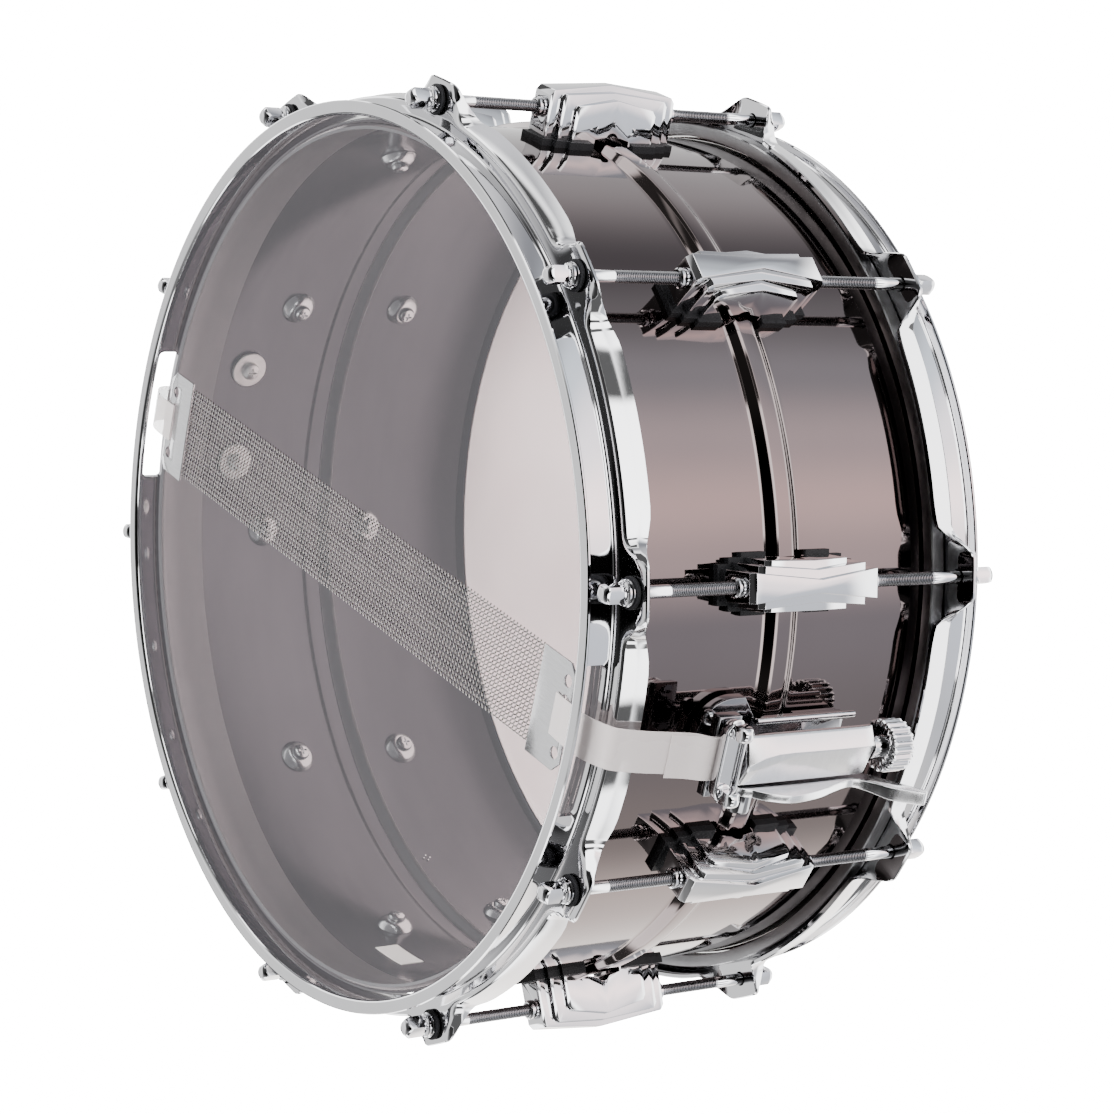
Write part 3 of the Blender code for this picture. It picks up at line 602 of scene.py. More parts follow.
def shell_wall():
    """Outer wall from the top edge down: flanged edge, straight wall, raised bead, and the same below."""
    outer = [(175.0, 82.55), (176.2, 81.9), (177.3, 80.6)]
    outer += [(SHELL_R, z) for z in (79.0, 71.5, 60.0, 30.0, 10.0)]
    rise = [(8.6, 0.0), (7.7, 0.15), (6.9, 0.6), (4.9, 2.3), (4.1, 2.85), (3.3, 3.12), (2.3, 3.2)]
    outer += [(SHELL_R + lift, z) for z, lift in rise]
    outer.append((BEAD_R, 0.0))
    return outer + [(r, -z) for r, z in reversed(outer[:-1])]


def make_shell():
    """Nickel outside and satin inside, with painted light on the bead's lower flank and near the lower edge."""
    thickness, edge_height, edge_lift = 1.2, 75, 0.5
    painted_light_below, bead_half, flank_tilt = -60 * MM, 12 * MM, -0.12
    wall = shell_wall()
    inside = [(r - thickness, z - math.copysign(edge_lift, z) * (abs(z) > edge_height)) for r, z in wall]
    mesh = turned_ring("shell", wall + inside[::-1])
    paint(mesh, "nickel", "inside", "inside_painted_light")
    for face in mesh.polygons:
        outward = face.normal.x * face.center.x + face.normal.y * face.center.y
        flank = abs(face.center.z) < bead_half and face.normal.z < flank_tilt
        face.material_index = 0 if outward > 0 else 1 + (flank or face.center.z < painted_light_below)
    add_piece("drum_shell", mesh, "nickel", "shell")


def head_mesh(name, side):
    """The playing face, the bend over the bearing edge and the collar, all one film."""
    film, steps = 0.28, 180
    top = [(r, HEAD_FACE_Z) for r in (20, 60, 100, 140, 168)]
    top += [(174.6, 83.22), (175.9, 82.75), (177.4, 81.2), (178.3, 79.6), (178.5, 78.0), (178.5, 76.2)]
    under = [(r - film * (r > 174), z - film * (r < 178.4)) for r, z in top]
    rings = [[(x, y, side * z * MM) for x, y in circle(r * MM, steps)] for r, z in top + under[::-1]]
    return stacked(name, rings)


def make_heads():
    add_piece("batter_film", head_mesh("batter_film", 1), "coated", "batter_head")
    add_piece("snare_side_film", head_mesh("snare_side_film", -1), "clear", "snare_side_head")
    channel = [(179.1, 69.5), (179.5, 69.3), (183.9, 69.3), (184.3, 69.8), (184.3, 75.0), (183.8, 75.6),
               (182.6, 75.6), (182.2, 74.9), (180.9, 74.9), (180.5, 75.6), (179.4, 75.6), (179.0, 75.2)]
    for label, side in SIDES:
        name = f"{label}_flesh_ring"
        add_piece(name, turned_ring(name, channel, side), "aluminium", f"{label}_flesh_hoop")


# --- hoops


def hoop_outline(ear, reach):
    """The pressed sheet's outline. The ear share turns the skirt out flat, and reach is the skirt's depth."""
    lip = arc((180.9, 91.1), 2.0, 180, 90, 5) + [(183.3, 93.1)] + arc((183.8, 92.1), 1.0, 80, -60, 5)
    inside_lip = [(182.9, 90.9)] + arc((182.3, 89.7), 1.2, 95, 180, 4)
    upper = lip + inside_lip + [(181.1, 85.0)] + arc((182.3, 79.5), 1.2, 180, 270, 4)
    skirt = [(184.6, EAR_FACE_Z)] + arc((185.4, 76.3), 2.0, 80, 12, 5)
    skirt += [(188.2, 71.6), (189.1, 67.4), (188.7, 67.0), (187.3, 67.0), (186.9, 67.5)]
    skirt += [(186.1, 71.8), (185.2, 75.2), (184.2, EAR_UNDER_Z)]
    short = 1 - reach
    skirt = [(r + (186.4 - r) * short, z + (75.4 - z) * short) if z < 75 else (r, z) for r, z in skirt]
    flat = [(r, EAR_FACE_Z) for r in (185.4, 187.6, 189.9, 192.2, 194.6, 196.9, 198.4)]
    flat += [(199.3, 78.1), (199.7, 77.6), (199.7, 76.8), (199.3, 76.2)]
    flat += [(r, EAR_UNDER_Z) for r in (196.0, 190.5, 185.6)]
    outer = [(a[0] + (b[0] - a[0]) * ear, a[1] + (b[1] - a[1]) * ear) for a, b in zip(skirt, flat)]
    return upper + outer + [(181.5, EAR_UNDER_Z), (179.4, EAR_UNDER_Z), (178.9, 76.6)]


# Degrees from a rod at which the ear turns into skirt, and over how many; then the same for the reach.
EAR_HALF, EAR_BEND = 2.2, 3.9
REACH_START, REACH_BEND, LEAST_REACH = 4, 5, 0.72


def hoop_angles():
    """Angles round the hoop with the ear and reach shares, closer together where an ear grows out."""
    near = [0, 0.8, 1.6, 2.2, 2.7, 3.2, 3.7, 4.2, 4.7, 5.2, 5.8, 6.6, 7.8, 9.2, 10.8, 12.6, 14.4, 16.2]
    steps = [-HALF_STEP] + [-a for a in near[:0:-1]] + near
    angles = []
    for rod in ROD_ANGLES:
        for step in steps:
            ear = 1 - smoothstep((abs(step) - EAR_HALF) / EAR_BEND)
            reach = LEAST_REACH + (1 - LEAST_REACH) * smoothstep((abs(step) - REACH_START) / REACH_BEND)
            angles.append((rod + step, ear, reach))
    return angles


def gate_cutters():
    """Two soft-cornered openings through the hoop's wall, for the straps."""
    outline = []
    for y, z, start in ((28, -82.6, 0), (-28, -82.6, 90), (-28, -88.0, 180), (28, -88.0, 270)):
        outline += arc((y, z), 2.0, start, start + 90, 5)
    return [prism("gate", outline, "X", 170, 182.3), prism("gate", outline, "X", -182.3, -170)]


def hoop_mesh(name, side, gates):
    outlines = [(math.radians(angle), hoop_outline(ear, reach)) for angle, ear, reach in hoop_angles()]
    mesh = swept(name, outlines, True, side, 40)
    cutters = []
    for angle in ROD_ANGLES:
        c, s = cos_sin(angle)
        cutters.append(pin("hole", [(3.1, side * 70), (3.1, side * 82)], "Z", (ROD_R * c, ROD_R * s), 24))
    if gates:
        cutters += gate_cutters()
    return boolean(mesh, cutters, "DIFFERENCE", name)


def make_hoops():
    for label, side in SIDES:
        name = f"{label}_rim_hoop"
        add_piece(name, hoop_mesh(name, side, gates=side < 0), "chrome", f"{label}_hoop")


# --- lugs


def lug_tier(half_length, widths, end_top, crown_top):
    """One step of the lug, waisted and ridged at its middle, with a chamfer at each end."""
    foot, flare, chamfer = 179.3, 0.5, 2.2
    end_width, waist = widths
    half = [(-half_length, end_top - chamfer, end_width), (chamfer * 0.8 - half_length, end_top, end_width)]
    profile = half + [(0, crown_top, waist)] + [(-z, top, width) for z, top, width in half[::-1]]
    rings = []
    for z, top, width in profile:
        low_width = width + flare
        rings.append(metres([(foot, -low_width, z), (foot, low_width, z), (top, width, z), (top, -width, z)]))
    return stacked("tier", rings)


def lug_mesh():
    """Three stepped tiers, notched over the bead and bored at each end."""
    tiers = [lug_tier(30.3, (5.6, 2.5), 199.6, 202.4), lug_tier(25.3, (7.9, 6.0), 198.4, 199.9),
             lug_tier(19.5, (9.5, 9.3), 194.5, 197.6)]
    body = boolean(tiers[0], tiers[1:], "UNION", "lug")
    under, top, half = 170, 181.5, 8.2
    round_top = arc((top, 0), 3.0, -90, 90, 9)[1:-1]
    outline = [(under, -half), (top, -half)] + round_top + [(top, half), (under, half)]
    notch = prism("notch", outline, "Y", -20, 20)
    bores = [pin("bore", [(3.3, end * 22), (3.3, end * 40)], "Z", (ROD_R, 0), 24) for end in (-1, 1)]
    cut = boolean(body, [notch] + bores, "DIFFERENCE", "lug")
    return rounded(cut, 0.35, 2, "lug")


def gasket_mesh():
    """A thin black plate under the lug, in two halves beside the bead, a little wider than the lug."""
    bm = bmesh.new()
    steps = [(9.6, 11.8), (21.0, 11.8), (21.0, 10.0), (26.9, 10.0), (26.9, 7.7), (31.9, 7.7)]
    for end in (-1, 1):
        outline = [(width, end * z) for z, width in steps]
        outline += [(-width, end * z) for z, width in reversed(steps)]
        rings = [[bm.verts.new((x * MM, y * MM, z * MM)) for y, z in outline] for x in (177.0, 180.3)]
        join_rings(bm, rings, closed=False)
    return mesh_from("gasket", bm)


def lug_screw_mesh():
    profile = [(0.5, 170.1), (2.2, 170.2), (3.4, 170.8), (3.9, 171.8), (3.9, 173.0), (2.4, 173.1), (2.0, 177)]
    return slotted_screw("phillips_screw", profile, 28, (168, 171.2), 2.1, 0.45)


def make_lugs():
    """Lugs over gaskets, each with two swivel nuts, and two screws and domed washers inside the shell."""
    screw_height = 27.8 * MM
    lug, gasket, screw = lug_mesh(), gasket_mesh(), lug_screw_mesh()
    nut = pin("nut", [(2.6, 29), (2.6, 33.2), (2.8, 33.4), (3.3, 33.4), (3.9, 32.8), (4.0, 31.8), (3.9, 30.9),
                      (3.4, 30.6), (3.3, 29)], "Z", (ROD_R, 0), 28)
    cup = pin("cup", [(3.0, 172.9), (4.2, 172.9), (5.9, 173.6), (7.2, 174.8), (7.9, 176.2), (7.3, 176.3),
                      (5.4, 175.0), (3.0, 174.6)], "X", segments=40)
    for number, angle in enumerate(ROD_ANGLES, start=1):
        place = around(angle)
        add_piece(f"casing_{number:02d}", lug, "chrome", f"lug_{number:02d}", place)
        add_piece(f"gasket_{number:02d}", gasket, "rubber", None, place)
        for end, label in ((1, f"upper_{number:02d}"), (-1, f"lower_{number:02d}")):
            add_piece(f"swivel_{label}", nut, "rod", None, place if end > 0 else place @ UPSIDE_DOWN)
            inner = around(angle, end * screw_height)
            add_piece(f"lug_screw_{label}", screw, "screw", None, inner)
            add_piece(f"cup_washer_{label}", cup, "screw", None, inner)


# --- tension rods


def square_ring(half, count, softness):
    """Points of a square with soft corners. Softness 0 is square, 1 is a circle."""
    points = []
    for i in range(count):
        angle = 2 * math.pi * i / count
        c, s = math.cos(angle), math.sin(angle)
        reach = half / max(abs(c), abs(s))
        reach = min(reach, half * (math.sqrt(2) - 0.41 * softness)) * (1 - softness) + half * softness
        points.append((reach * c, reach * s))
    return points


def rod_mesh():
    """A key rod about its own axis, head upwards. Heights are from the ear's outer face."""
    count, shank = 24, 2.45
    tip, thread_end, pitch = 17.0 - EAR_FACE_Z, 62.5 - EAR_FACE_Z, 0.8
    rings = [(1.6, tip)]
    for i in range(int((thread_end - tip) / pitch)):
        z = tip + 0.4 + i * pitch
        rings += [(2.42, z), (2.42, z + 0.12), (2.08, z + 0.4), (2.08, z + 0.5)]
    rings += [(shank, thread_end), (shank, 2.6), (shank, 2.9)]
    rings += [(4.2, 2.9), (4.6, 3.3), (4.6, 4.0), (4.2, 4.4), (3.5, 4.5)]
    points = [metres((x, y, z) for x, y in circle(r, count)) for r, z in rings]
    head = [(3.15, 4.7, 0.35), (3.25, 5.2, 0.12), (3.25, 11.6, 0.12), (3.15, 12.4, 0.25), (2.7, 13.4, 0.7),
            (1.9, 14.0, 1.0), (0.8, 14.2, 1.0)]
    points += [metres((x, y, z) for x, y in square_ring(half, count, softness)) for half, z, softness in head]
    mesh = stacked("key_rod", points, 40)
    paint(mesh, "rod", "thread")
    for face in mesh.polygons:
        face.material_index = 1 if face.center.z < thread_end * MM else 0
    return mesh


def make_rods():
    """Twenty key rods, each turned a little differently, with a chrome washer over a black one."""
    uneven_turn = 17
    rod = rod_mesh()
    bright = [(2.7, 1.75), (4.7, 1.75), (5.0, 1.95), (5.0, 2.5), (4.7, 2.75), (2.7, 2.8)]
    black = [(2.7, 0.35), (5.9, 0.35), (6.1, 0.6), (6.1, 1.4), (5.8, 1.7), (2.7, 1.7)]
    washer, seat = pin("chrome_washer", bright, "Z"), pin("black_washer", black, "Z")
    for label, side in SIDES:
        for number, angle in enumerate(ROD_ANGLES, start=1):
            c, s = cos_sin(angle)
            place = Matrix.Translation((ROD_R * MM * c, ROD_R * MM * s, MIDDLE_Z + side * EAR_FACE_Z * MM))
            if side < 0:
                place = place @ UPSIDE_DOWN
            place = place @ Matrix.Rotation(math.radians(side * angle + uneven_turn * number), 4, "Z")
            body = f"{label}_rod_{number:02d}"
            add_piece(f"key_{body}", rod, "rod", body, place, body)
            add_piece(f"washer_{body}", washer, "chrome", None, place, body)
            add_piece(f"seat_{body}", seat, "rubber", None, place, body)


# --- snare wires, plates and straps


# The wires in millimetres: each strand is a helix of round wire between two end lines, given as x and the two
# outer y places, which lie a little askew.
STRANDS = 20
COIL_PITCH, COIL_R, WIRE_R = 2.4, 0.60, 0.27
TURN_POINTS, WIRE_SIDES = 9, 4
WIRE_LEFT, WIRE_RIGHT, WIRE_Z = (-154.0, -20.7, 18.9), (155.0, -23.9, 14.2), -84.35
# The sine above which a turn counts as lying by the film, where the wire gets painted shade.
PAINTED_SHADE_SINE = -0.4


def strand_mesh(start, end, phase, base):
    """A strand's vertices, its faces numbered on from base, and a 1 for each face by the film, which gets
    painted shade.
    """
    along = (end - start).normalized()
    across = Vector((-along.y, along.x, 0))
    total = int((end - start).length / COIL_PITCH * TURN_POINTS)
    vertices, faces, shades = [], [], []
    for i in range(total + 1):
        turn = 2 * math.pi * i / TURN_POINTS + phase
        outward = across * math.cos(turn) + Vector((0, 0, 1)) * math.sin(turn)
        centre = start + along * (COIL_PITCH * i / TURN_POINTS) + outward * COIL_R
        for k in range(WIRE_SIDES):
            spin = 2 * math.pi * k / WIRE_SIDES
            surface = centre + outward * WIRE_R * math.cos(spin) + along * WIRE_R * math.sin(spin)
            vertices.append(surface * MM)
    for i in range(total):
        in_painted_shade = math.sin(2 * math.pi * (i + 0.5) / TURN_POINTS + phase) > PAINTED_SHADE_SINE
        for k in range(WIRE_SIDES):
            a, b = base + i * WIRE_SIDES + k, base + i * WIRE_SIDES + (k + 1) % WIRE_SIDES
            faces.append((a, b, b + WIRE_SIDES, a + WIRE_SIDES))
            shades.append(int(in_painted_shade))
    faces.append(tuple(base + k for k in range(WIRE_SIDES))[::-1])
    faces.append(tuple(base + total * WIRE_SIDES + k for k in range(WIRE_SIDES)))
    return vertices, faces, shades + [0, 0]


def wire_mesh():
    """All the coiled strands, with painted shade on the side by the film."""
    vertices, faces, shades = [], [], []
    for number in range(STRANDS):
        share = number / (STRANDS - 1)
        start, end = (Vector((x, a + (b - a) * share, WIRE_Z)) for x, a, b in (WIRE_LEFT, WIRE_RIGHT))
        points, sides, marks = strand_mesh(start, end, number, len(vertices))
        vertices += points
        faces += sides
        shades += marks
    mesh = bpy.data.meshes.new("coiled_wires")
    mesh.from_pydata([tuple(v) for v in vertices], [], faces)
    mesh.shade_smooth()
    paint(mesh, "wire", "wire_shade")
    mesh.polygons.foreach_set("material_index", shades)
    return mesh


def end_plate_mesh(end, inner_x, outer_x, centre_y, half_length, hole_x):
    """A flat plate with two rivet holes and a slot between them for the strap."""
    low, high, chamfer, hole_offset, slot_half = -86.45, -85.45, 4.0, 14.3, 8.6
    sides = (centre_y - half_length, centre_y + half_length)
    outline = [(inner_x, sides[0]), (outer_x - chamfer, sides[0]), (outer_x, sides[0] + chamfer),
               (outer_x, sides[1] - chamfer), (outer_x - chamfer, sides[1]), (inner_x, sides[1])]
    plate = prism("plate", [(end * x, y) for x, y in outline], "Z", low, high)
    cutters = [pin("hole", [(2.45, low - 1), (2.45, high + 1)], "Z", (end * hole_x, centre_y + offset), 28)
               for offset in (-hole_offset, hole_offset)]
    slot_x = sorted((end * (hole_x - 1), end * (hole_x + 1)))
    cutters.append(block("slot", slot_x, (centre_y - slot_half, centre_y + slot_half), (low - 1, high + 1)))
    return rounded(boolean(plate, cutters, "DIFFERENCE", "plate"), 0.18, 2)


def ribbon_mesh(name, end, route, centres, width, thickness):
    """A flat strap along a smooth curve through the route's (distance from axis, height) points."""
    points = smooth_route(route, 6)
    rings = []
    for i, (x, z) in enumerate(points):
        before, after = points[max(i - 1, 0)], points[min(i + 1, len(points) - 1)]
        length = math.hypot(after[0] - before[0], after[1] - before[1])
        normal = (-(after[1] - before[1]) / length, (after[0] - before[0]) / length)
        middle = centres[0] + (centres[1] - centres[0]) * i / (len(points) - 1)
        ring = []
        for reach, y in ((-0.5, -0.5), (-0.5, 0), (-0.5, 0.5), (0.5, 0.5), (0.5, 0), (0.5, -0.5)):
            ring.append((end * (x + reach * thickness * normal[0]), middle + y * width,
                         z + reach * thickness * normal[1]))
        rings.append(metres(ring))
    return stacked(name, rings, 40)


def smooth_route(route, steps):
    """A Catmull-Rom curve through the points."""
    padded = [route[0]] + list(route) + [route[-1]]
    points = []
    for a, b, c, d in zip(padded, padded[1:], padded[2:], padded[3:]):
        for i in range(steps):
            t = i / steps
            point = []
            for k in range(2):
                curve = 2 * b[k] + (c[k] - a[k]) * t + (2 * a[k] - 5 * b[k] + 4 * c[k] - d[k]) * t * t
                point.append((curve + (3 * b[k] - a[k] - 3 * c[k] + d[k]) * t ** 3) / 2)
            points.append(tuple(point))
    return points + [tuple(route[-1])]


# The straps' routes, as (distance from the axis, height), and their width and thickness.
OVER_RIM = [(161.5, -87.05), (168.0, -87.1), (175.0, -86.8), (182.0, -85.2), (189.4, -80.8)]
TO_STRAINER = [(191.6, -76.0), (194.0, -66.0), (197.2, -49.5), (200.6, -42.5), (200.6, -31.2)]
FOLD = [(196.0, -58.0), (198.1, -50.2), (201.2, -43.3), (201.2, -38.0)]
TO_BUTT = [(191.6, -74.0), (192.3, -64.0), (193.2, -51.9), (193.2, -40.6)]
STRAP_SIZE = (16.5, 0.5)
FOLD_SIZE = (17.0, 0.4)
# The sideways places of the two straps' inner ends.
STRAINER_Y, BUTT_Y = -4.1, -1.3


def add_following_strap(name, route, inner_y, size, node=None):
    """A strap in world space on no body, in place of a CAD node where one is given."""
    piece = add_piece(name, ribbon_mesh(name, 1, route, (inner_y, 0), *size), "strap", node, body=None)
    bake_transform(piece)


def make_snares():
    add_piece("coiled_wires", wire_mesh(), "wire", "snare_wires")
    for label, *sizes in (("strainer", 1, 148.0, 170.0, STRAINER_Y, 21.4, 166.0),
                          ("butt", -1, 148.0, 168.0, BUTT_Y, 23.0, 162.5)):
        add_piece(f"{label}_wire_plate", end_plate_mesh(*sizes), "plate", f"{label}_end_plate")
    add_following_strap("strainer_band", OVER_RIM + TO_STRAINER, STRAINER_Y, STRAP_SIZE, "strainer_strap")
    add_following_strap("strap_fold", FOLD, 0, FOLD_SIZE)
    band = ribbon_mesh("butt_band", -1, OVER_RIM + TO_BUTT, (BUTT_Y, 0), *STRAP_SIZE)
    add_piece("butt_band", band, "strap", "butt_strap")


# --- strainer


def base_mesh():
    """Foot plate: a wide round end, a narrow neck, a notch over the bead, and an upright web on each side."""
    outline = arc((0, -22), 15, 180, 360, 25) + [(15, -17), (5.8, -10.5), (5.8, 31), (3.5, 33)]
    outline += [(-3.5, 33), (-5.8, 31), (-5.8, -10.5), (-15, -17)]
    plate = prism("foot", outline, "X", 179.3, 183.6)
    webs = [block("web", (182.6, 188.4), sorted((side * 5.2, side * 6.6)), (-12, 31)) for side in (-1, 1)]
    plate = boolean(plate, webs, "UNION", "foot")
    notch = block("notch", (170, 181.8), (-20, 20), (-10, 10))
    return rounded(boolean(plate, [notch], "DIFFERENCE", "foot"), 0.4, 3)


def slide_rods_mesh():
    """Two round rods on the foot plate, along the sides of the cover."""
    rods = [pin("rod", [(1.0, -14), (1.3, -13.6), (1.3, 33.1), (1.0, 33.5)], "Z", (188.6, side * 7.2), 24)
            for side in (-1, 1)]
    return boolean(rods[0], rods[1:], "UNION", "slide_rods")


def cover_section(edge, ridge, upper, lower):
    """The cover's outline in the (y, x) plane. A narrow bevel lies between the upper and lower crease."""
    outer = [(-8.9, 201.4), (-8.9, edge - 0.6), (-8.3, edge + 0.2), (upper, ridge)]
    outer += [(lower, ridge - 0.12 * (lower - upper)), (10.2, edge + 0.6), (10.9, edge - 0.4), (10.9, 190.8)]
    inner = [(9.7, 190.8), (9.7, edge - 1.2), (lower, ridge - 1.6), (upper, ridge - 1.5)]
    return outer + inner + [(-7.7, edge - 1.2), (-7.7, 201.4)]


def cover_mesh():
    """Sections at rising heights. The two creases part near the clamp, where the face between turns over."""
    stations = [(-29.3, 202.8, 206.6, 1.6, 3.6), (-28.4, 203.4, 207.2, 1.2, 3.6),
                (-22, 203.7, 207.9, -1.8, 2.6), (-16, 203.7, 207.9, -2.9, 0.8),
                (-9, 203.7, 207.9, -3.1, -0.9), (0, 203.7, 207.9, -3.0, -1.9),
                (12, 203.7, 207.9, -2.9, -2.3), (26, 203.6, 207.7, -2.8, -2.4),
                (30.2, 203.2, 207.2, -2.8, -2.4), (31.0, 202.6, 206.6, -2.8, -2.4)]
    rings = [metres((x, y, z) for y, x in cover_section(*sizes)) for z, *sizes in stations]
    return rounded(stacked("cover", rings, 30), 0.25, 2, "cover", 12)


def knob_mesh():
    """Fluted grip: twenty flutes cut by a wave, with softened rims, on a stepped spindle."""
    count, flutes, flute_depth = 160, 20, 0.95
    spindle = [(2.0, -18), (2.0, 31.5), (4.4, 31.5), (4.5, 31.9), (4.5, 35.9)]
    rings = [[(x, y, z * MM) for x, y in circle(r * MM, count)] for r, z in spindle]
    grip = [(8.9, 36.0, 0.9), (9.8, 36.4, 1.0), (10.25, 37.4, 1.0), (10.25, 44.9, 1.0), (10.0, 45.8, 0.9),
            (8.9, 46.4, 0.3), (6.8, 46.5, 0.0), (4.6, 46.1, 0.0)]
    for radius, z, depth in grip:
        ring = []
        for i in range(count):
            angle = 2 * math.pi * i / count
            r = radius - flute_depth * depth * abs(math.cos(angle * flutes / 2)) ** 3
            ring.append((r * MM * math.cos(angle), r * MM * math.sin(angle), z * MM))
        rings.append(ring)
    return stacked("knob", rings, 40)


def lever_mesh():
    """The lever's outline as on the CAD lever, with its edges rolled over and a swept tip."""
    near_y, far_y, thickness = 11.8, 14.9, 3.1
    flare, flare_start, flare_length = 2.2, 46, 16
    eye = arc((0, 0), 7.9, 180, 350, 21)
    belly = [(11.6, 3.0), (14.6, 9.5), (15.2, 16.0), (13.3, 27.0), (9.9, 36.5), (7.5, 46.0), (11.4, 53.0)]
    tip = [(16.9, 58.0), (23.2, 68.8), (22.7, 71.0), (20.9, 71.5)]
    inner = [(12.0, 63.0), (4.6, 56.2), (0.2, 47.0), (-2.4, 36.0), (-4.4, 22.0), (-6.9, 9.0)]
    edge = smooth_route([eye[-1]] + belly + tip + inner + [eye[0]], 4)
    mesh = rounded(prism("lever", eye + edge[1:-1], "Y", near_y, far_y), 0.8, 3, "lever", 40)
    for vertex in mesh.vertices:
        outer = (vertex.co.y / MM - near_y) / thickness
        vertex.co.y += flare * MM * outer * smoothstep((vertex.co.z / MM - flare_start) / flare_length)
    return mesh


def stadium(middle, radius, straight, count):
    """A bar's outline with round ends."""
    return arc((straight, middle), radius, -90, 90, count) + arc((-straight, middle), radius, 90, 270, count)


def clamp_plate_mesh(seat, low, high, thickness):
    """The clamp bar: round ends and a raised rim round a shallow recess."""
    gap, half_length, rim = 1.35, 16, 1.6
    inner, radius, middle = seat + gap, (high - low) / 2, (low + high) / 2
    straight = half_length - radius
    bar = prism("bar", stadium(middle, radius, straight, 17), "X", inner, inner + thickness)
    recess = stadium(middle, radius - rim, straight, 13)
    cut = prism("recess", recess, "X", inner + thickness * 0.55, inner + thickness + 2)
    return rounded(boolean(bar, [cut], "DIFFERENCE", "bar"), 0.5, 3)


def square_screw_mesh(seat, middle, top, y, head):
    """A clamp screw: a round flange and a square head with a domed end."""
    count = 24
    rings = []
    flange = [(2.0, seat - 6), (2.0, top), (3.5, top), (3.8, top + 0.3), (3.8, top + 0.8), (3.4, top + 1.1)]
    for r, x in flange:
        rings.append(metres((x, y + a, middle + b) for a, b in circle(r, count)))
    shape = [(2.75, 1.2, 0.3), (2.85, 1.6, 0.12), (2.85, head - 2.2, 0.12), (2.6, head - 1.2, 0.5),
             (1.9, head - 0.4, 0.9), (0.8, head, 1.0)]
    for half, x, softness in shape:
        rings.append(metres((top + x, y + a, middle + b) for a, b in square_ring(half, count, softness)))
    return stacked("clamp_screw", rings, 40)


def make_strainer():
    place = around(0)
    add_piece("foot_plate", base_mesh(), "shaded_chrome", "strainer_base", place)
    add_piece("slide_rods", slide_rods_mesh(), "chrome", "strainer_base", place)
    add_piece("arched_cover", cover_mesh(), "cover_chrome", "strainer_cover", place)
    knob_place = Matrix.Translation((202.5 * MM, 0, MIDDLE_Z))
    add_piece("fluted_knob", knob_mesh(), "chrome", "tension_knob", knob_place, "knob")
    make_lever()
    make_clamp(place)
    make_bosses()
    for label, z in (("lower", -26), ("upper", 24)):
        place = around(0, z * MM)
        add_piece(f"base_screw_{label}", shell_screw_mesh(), "washer", f"strainer_screw_{label}", place)


def make_lever():
    pivot = Matrix.Translation((198 * MM, 0, MIDDLE_Z - 22 * MM))
    add_piece("side_lever", lever_mesh(), "cover_chrome", "release_lever", pivot, "lever")
    profile = [(2.5, 11.3), (2.5, 15.3), (4.3, 15.3), (4.6, 15.6), (4.6, 22.6), (4.2, 23.6), (3.2, 24)]
    add_piece("pivot_pin", pin("pivot_pin", profile, "Y", segments=36), "shaded_chrome", "lever_pin", pivot)


def make_clamp(place):
    """The sliding jaw, the bar that holds the strap to it, and the bar's two screws."""
    low, high, seat = -41.0, -30.6, 200.0
    jaw = block("jaw", (195.2, seat), (-16, 16), (low, high))
    stem = block("stem", (193, 199), (-5, 5), (-31.6, -4))
    jaw = rounded(boolean(jaw, [stem], "UNION", "jaw"), 1.2, 3, "jaw")
    add_piece("jaw", jaw, "shaded_chrome", "clamp_carriage", place, "clamp")
    add_piece("clamp_bar", clamp_plate_mesh(seat, low, high, 4.2), "chrome", "clamp_plate", place, "clamp")
    for label, y in (("left", -13), ("right", 13)):
        mesh = square_screw_mesh(seat, -35.8, 203.8, y, 8.6)
        add_piece(f"bar_screw_{label}", mesh, "chrome", f"clamp_screw_{label}", place, "clamp")


def make_bosses():
    """Two domed rivets on the foot plate."""
    profile = [(3.1, 183.4), (3.1, 184.6), (2.8, 185.9), (2.0, 186.8), (0.9, 187.3), (0.2, 187.4)]
    dome = pin("dome", profile, "X", segments=28)
    for label, turn, lift in (("outer", -2.6, -33.0), ("inner", -1.2, -27.5)):
        add_piece(f"foot_rivet_{label}", dome, "shaded_chrome", matrix=around(turn, lift * MM))


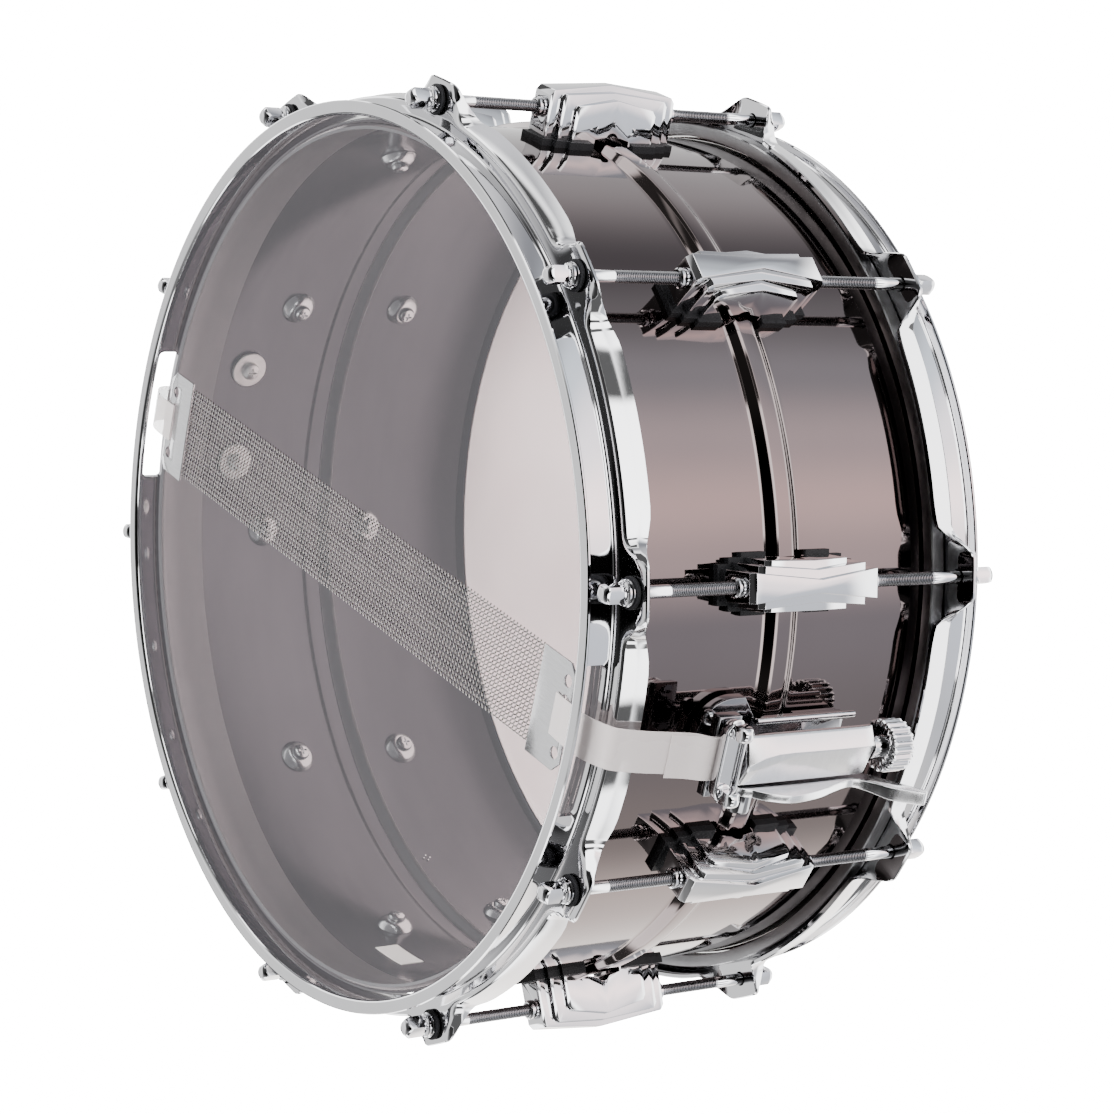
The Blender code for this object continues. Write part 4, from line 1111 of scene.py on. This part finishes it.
def shell_screw_mesh():
    """A pan-head screw over a flat washer, inside the shell."""
    profile = [(0.6, 171.4), (2.4, 171.6), (3.7, 172.4), (4.1, 173.4), (4.1, 174.4), (7.9, 174.5),
               (8.3, 174.8), (8.3, 175.9), (8.0, 176.2), (2.0, 176.2), (2.0, 182.0)]
    return slotted_screw("shell_screw", profile, 40, (169, 172.7), 2.2, 0.5)


def butt_mesh():
    """A block on a curved foot against the shell."""
    outline = [(178.3, -54), (181.6, -54), (181.6, -36), (178.3, -36)]
    foot = swept("foot", [(math.radians(degrees), outline) for degrees in range(-10, 11)], False)
    block_above = block("block", (180, 192.6), (-16, 16), (-50.4, -40))
    return rounded(boolean(foot, [block_above], "UNION", "butt"), 0.8, 3)


def make_butt():
    """The fixed clamp opposite the strainer, with its bar and screws."""
    seat, low, high = 192.6, -50.4, -40.0
    place = around(180)
    add_piece("butt_block", butt_mesh(), "shaded_chrome", "butt_base", place)
    add_piece("butt_bar", clamp_plate_mesh(seat, low, high, 2.4), "chrome", "butt_clamp_plate", place)
    for label, side in (("left", -1), ("right", 1)):
        mesh = square_screw_mesh(seat, -45.2, 195.2, side * 13, 4.8)
        add_piece(f"butt_bar_screw_{label}", mesh, "chrome", f"butt_clamp_screw_{label}", place)
        inside = around(180 + side * 7.4, -45 * MM)
        add_piece(f"butt_shell_screw_{label}", shell_screw_mesh(), "washer", f"butt_screw_{label}", inside)


def make_label():
    """A blank paper label inside the shell, and four small rivet ends."""
    section = [(176.55, -47.5), (176.35, -47.5), (176.35, -36.5), (176.55, -36.5)]
    label = swept("paper_label", [(math.radians(77.2 + 0.9 * i), section) for i in range(9)], False)
    add_piece("paper_label", label, "paper")
    rivet = pin("rivet", [(0.2, 175.9), (0.55, 176.1), (0.65, 176.5), (0.65, 176.8)], "X", segments=16)
    for number, (turn, lift) in enumerate(((0.5, 0), (-0.5, 0), (0, 1.6), (0, -1.6)), start=1):
        add_piece(f"rivet_{number}", rivet, "screw", matrix=around(105 + turn, (14 + lift) * MM))


def main():
    make_camera()
    make_world()
    make_stage()
    make_finishes()
    make_shell()
    make_heads()
    make_hoops()
    make_lugs()
    make_rods()
    make_snares()
    make_strainer()
    make_butt()
    make_label()


main()
